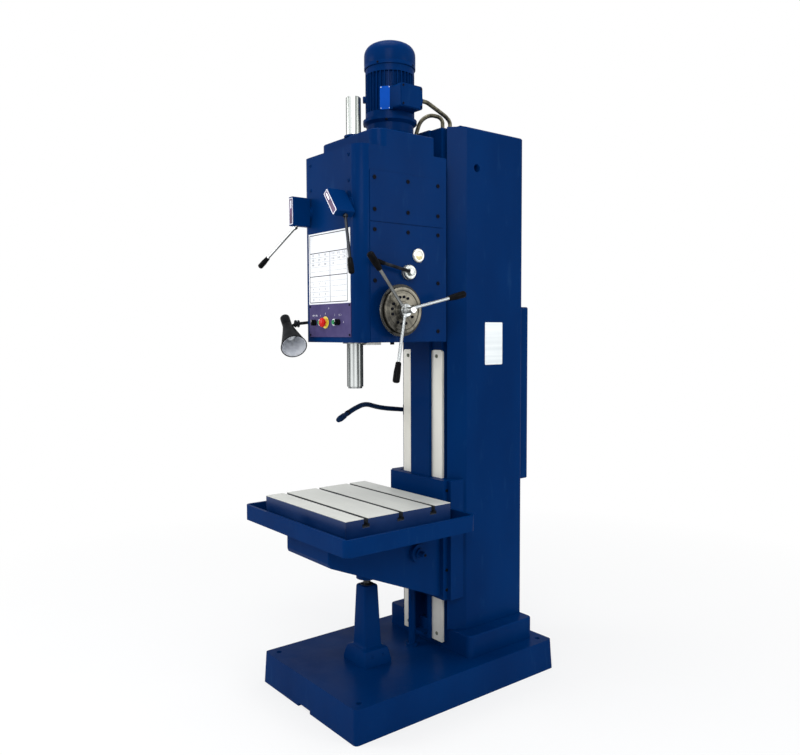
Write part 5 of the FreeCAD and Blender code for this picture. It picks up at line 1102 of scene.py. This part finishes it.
bare = table_iron.blend(table_iron.span(spots, 0.64, 0.8, 0, 0.35), bare, shade(160, 152, 132))
blue = table_iron.blend(table_iron.span(stains, 0.3, 0.7), ENAMEL_DEEP, ENAMEL_CLEAR)
# Painted shade: inside the T-slots the iron is coloured dark.
painted_slot_shade = table_iron.blend(table_iron.span(spots, 0.3, 0.7), shade(22, 25, 32), shade(58, 62, 68))
table_iron.clouded(below_top, bare, table_iron.blend(outside, painted_slot_shade, blue))
table_iron.gloss(stains, 0.28, 0.48)
table_iron.relief(planed, 0.00008)
dress("work_table", table_iron.material, 0.0012)


# Elevating screw. A trapezoidal screw of steel stands in its pedestal and lifts the knee; its thread
# is cut the whole way, and its steel is painted dark as the shade under the knee.
# Painted shade: the screw's steel is coloured dark for the shade under the knee.
screw_steel = Surface("screw_steel", 0.34, {"Metallic": 0.8})
screw_steel.clouded(screw_steel.patches(24, 0.35, 0.7, detail=4), shade(26, 27, 28), shade(84, 86, 86))
screw_steel.gloss(screw_steel.noise(50), 0.26, 0.45)
screw_steel.relief(screw_steel.noise(300), 0.00005)
SCREW_LOW, SCREW_HIGH = 0.1155, 0.4525
PITCH, CREST, ROOT, AROUND = 0.006, 0.0149, 0.0122, 20
THREAD = ((0, ROOT), (0.30, ROOT), (0.45, CREST), (0.80, CREST), (0.95, ROOT))
thread = bmesh.new()
rows = []
turns = int((SCREW_HIGH - SCREW_LOW) / PITCH) + 2
for turn in range(turns):
    for share, radius in THREAD:
        row = []
        for n in range(AROUND):
            angle = math.tau * n / AROUND
            rise = SCREW_LOW + (turn - 1 + share + n / AROUND) * PITCH
            row.append(thread.verts.new((radius * math.cos(angle), -0.286 + radius * math.sin(angle),
                                         min(max(rise, SCREW_LOW), SCREW_HIGH))))
        rows.append(row)
for lower, upper in zip(rows, rows[1:]):
    for n in range(AROUND - 1):
        thread.faces.new((lower[n], lower[n + 1], upper[n + 1], upper[n]))
for start in range(len(rows) - len(THREAD) - 1):
    lower, upper = rows[start], rows[start + 1]
    thread.faces.new((lower[-1], rows[start + len(THREAD)][0], rows[start + len(THREAD) + 1][0], upper[-1]))
bmesh.ops.dissolve_degenerate(thread, dist=0.00001, edges=thread.edges[:])
bmesh.ops.holes_fill(thread, edges=[edge for edge in thread.edges if edge.is_boundary], sides=0)
fit("threaded_screw", thread, screw_steel.material, "knee", "screw_steel", "elevating_screw")


# Pedestal. A hollow iron casting bolted to the base: its flared foot runs up into a tapered post, and
# the elevating screw's nut is let into the post's top.
FOOT_X, FOOT_FRONT, FOOT_BACK = 0.075, -0.351, -0.221
pedestal = bmesh.new()
loops = []
for height, grown, corner in ((0.1230, 0, 0.006), (0.1330, 0, 0.006), (0.1620, -0.0060, 0.008),
                              (0.1800, -0.0120, 0.010), (0.1840, -0.0200, 0.012), (0.1860, -0.0300, 0.012)):
    loops.append((height, FOOT_X + grown, (FOOT_BACK - FOOT_FRONT) / 2 + grown * 0.7, corner))
for height, half in ((0.1890, 0.0418), (0.1980, 0.0408), (0.2600, 0.0386), (0.4180, 0.0325), (0.4250, 0.0308),
                     (0.4278, 0.0270)):
    loops.append((height, half, half, 0.008))
rows = [[pedestal.verts.new((x, y - 0.286, height)) for x, y in outline(2 * half_x, 2 * half_y, corner)]
        for height, half_x, half_y, corner in loops]
for lower, upper in zip(rows, rows[1:]):
    for n in range(len(lower)):
        following = (n + 1) % len(lower)
        pedestal.faces.new((lower[n], lower[following], upper[following], upper[n]))
pedestal.faces.new(rows[0][::-1])
pedestal.faces.new(rows[-1])
fit("pedestal_casting", pedestal, cast_enamel, "frame", "blue_enamel", "support_pedestal")
repeat("pedestal_bolts", hexagon_bolt, (0.0085, 0.0085, 0.008),
       [((across, along, 0.1575), UP, RIGHT) for across in (-0.0635, 0.0635) for along in (-0.312, -0.260)],
       cast_enamel, "frame", "blue_enamel")
collar = turned(bmesh.new(), ((0.0155, 0.4270), (0.0260, 0.4270), (0.0260, 0.4288), (0.0250, 0.4297),
                              (0.0155, 0.4297), (0.0155, 0.4270)), Matrix.Translation((0, -0.286, 0)), 40)
# The nut's collar shares the screw's painted shade.
fit("pedestal_nut_flange", collar, screw_steel.material, "frame", "screw_steel")


# Drain pipe. A painted steel tube stands on a flange on the base and takes the coolant down from the knee.
dress("drain_pipe", head_enamel)
repeat("drain_flange_bolts", hexagon_bolt, (0.0042, 0.0042, 0.0035),
       ring_spots((0, -0.057, 0.1332), 0.0198, 4, 45, RIGHT, BACK, UP), head_enamel, "frame", "blue_enamel")


# Studio: a pale floor, a plain white surround, soft lamps, and the camera where the photographer's stood.
stage_floor = bpy.data.meshes.new("studio_floor")
reach = 14
stage_floor.from_pydata([(-reach, -reach, 0), (reach, -reach, 0), (reach, reach, 0), (-reach, reach, 0)], [],
                        [(0, 1, 2, 3)])
pale = Surface("pale_floor", 0.9, {"Specular IOR Level": 0.0})
pale.clouded(pale.noise(1.5), shade(238, 239, 240), shade(243, 243, 243))
glow = pale.node("ShaderNodeEmission", {"Color": (1, 1, 1, 1), "Strength": 1.0})
ray = pale.tree.nodes.new("ShaderNodeLightPath")
seen = pale.sum(pale.sum(ray.outputs["Is Camera Ray"], ray.outputs["Is Glossy Ray"], "MAXIMUM"),
                ray.outputs["Is Transmission Ray"], "MAXIMUM")
away = pale.node("ShaderNodeVectorMath", {0: pale.place}, operation="LENGTH").outputs[1]
share = pale.sum(seen, pale.span(away, 0.9, 3.2, 0.72, 1.0), "MULTIPLY")
mixed = pale.node("ShaderNodeMixShader", {0: share, 1: pale.shader.outputs[0], 2: glow.outputs[0]})
pale.tree.links.new(mixed.outputs[0], pale.tree.nodes["Material Output"].inputs["Surface"])
stage_floor.materials.append(pale.material)
floor = bpy.data.objects.new("studio_floor", stage_floor)
bpy.context.scene.collection.objects.link(floor)

world = bpy.data.worlds.new("studio_surround")
bpy.context.scene.world = world
world.use_nodes = True
surround = world.node_tree
sky = surround.nodes["Background"]
sky.inputs["Color"].default_value = (0.93, 0.96, 1, 1)
sky.inputs["Strength"].default_value = 0.55
white = surround.nodes.new("ShaderNodeBackground")
white.inputs["Color"].default_value = (1, 1, 1, 1)
white.inputs["Strength"].default_value = 1.0
path = surround.nodes.new("ShaderNodeLightPath")
direct = surround.nodes.new("ShaderNodeMath")
direct.operation = "MAXIMUM"
through = surround.nodes.new("ShaderNodeMath")
through.operation = "MAXIMUM"
choice = surround.nodes.new("ShaderNodeMixShader")
surround.links.new(path.outputs["Is Camera Ray"], direct.inputs[0])
surround.links.new(path.outputs["Is Glossy Ray"], direct.inputs[1])
surround.links.new(direct.outputs[0], through.inputs[0])
surround.links.new(path.outputs["Is Transmission Ray"], through.inputs[1])
surround.links.new(through.outputs[0], choice.inputs[0])
surround.links.new(sky.outputs[0], choice.inputs[1])
surround.links.new(white.outputs[0], choice.inputs[2])
surround.links.new(choice.outputs[0], surround.nodes["World Output"].inputs["Surface"])

for name, place, aim, width, power in (
    ("key_lamp", (3.4, -3.2, 3.6), (0, -0.1, 1.2), 2.2, 92),
    ("front_lamp", (-2.6, -3.8, 2.4), (0, -0.2, 1.3), 2.0, 75),
    ("side_lamp", (3.8, 1.8, 2.2), (0.1, 0.1, 1.2), 2.0, 40),
    ("top_lamp", (0.2, -0.6, 4.6), (0, -0.1, 1.0), 1.8, 60),
):
    light = bpy.data.lights.new(name, "AREA")
    light.shape = "SQUARE"
    light.size = width
    light.energy = power
    lamp = bpy.data.objects.new(name, light)
    lamp.location = place
    lamp.rotation_euler = (Vector(aim) - Vector(place)).to_track_quat("-Z", "Y").to_euler()
    bpy.context.scene.collection.objects.link(lamp)

view = bpy.data.cameras.new("photo_view")
view.sensor_width = 36
view.lens = 34.88
viewpoint = bpy.data.objects.new("photo_view", view)
viewpoint.location = (2.444, -2.043, 1.416)
viewpoint.rotation_euler = (math.radians(90 - 3.32), math.radians(0.21), math.radians(51.73))
bpy.context.scene.collection.objects.link(viewpoint)
bpy.context.scene.camera = viewpoint
bpy.context.scene.view_settings.view_transform = "Standard"
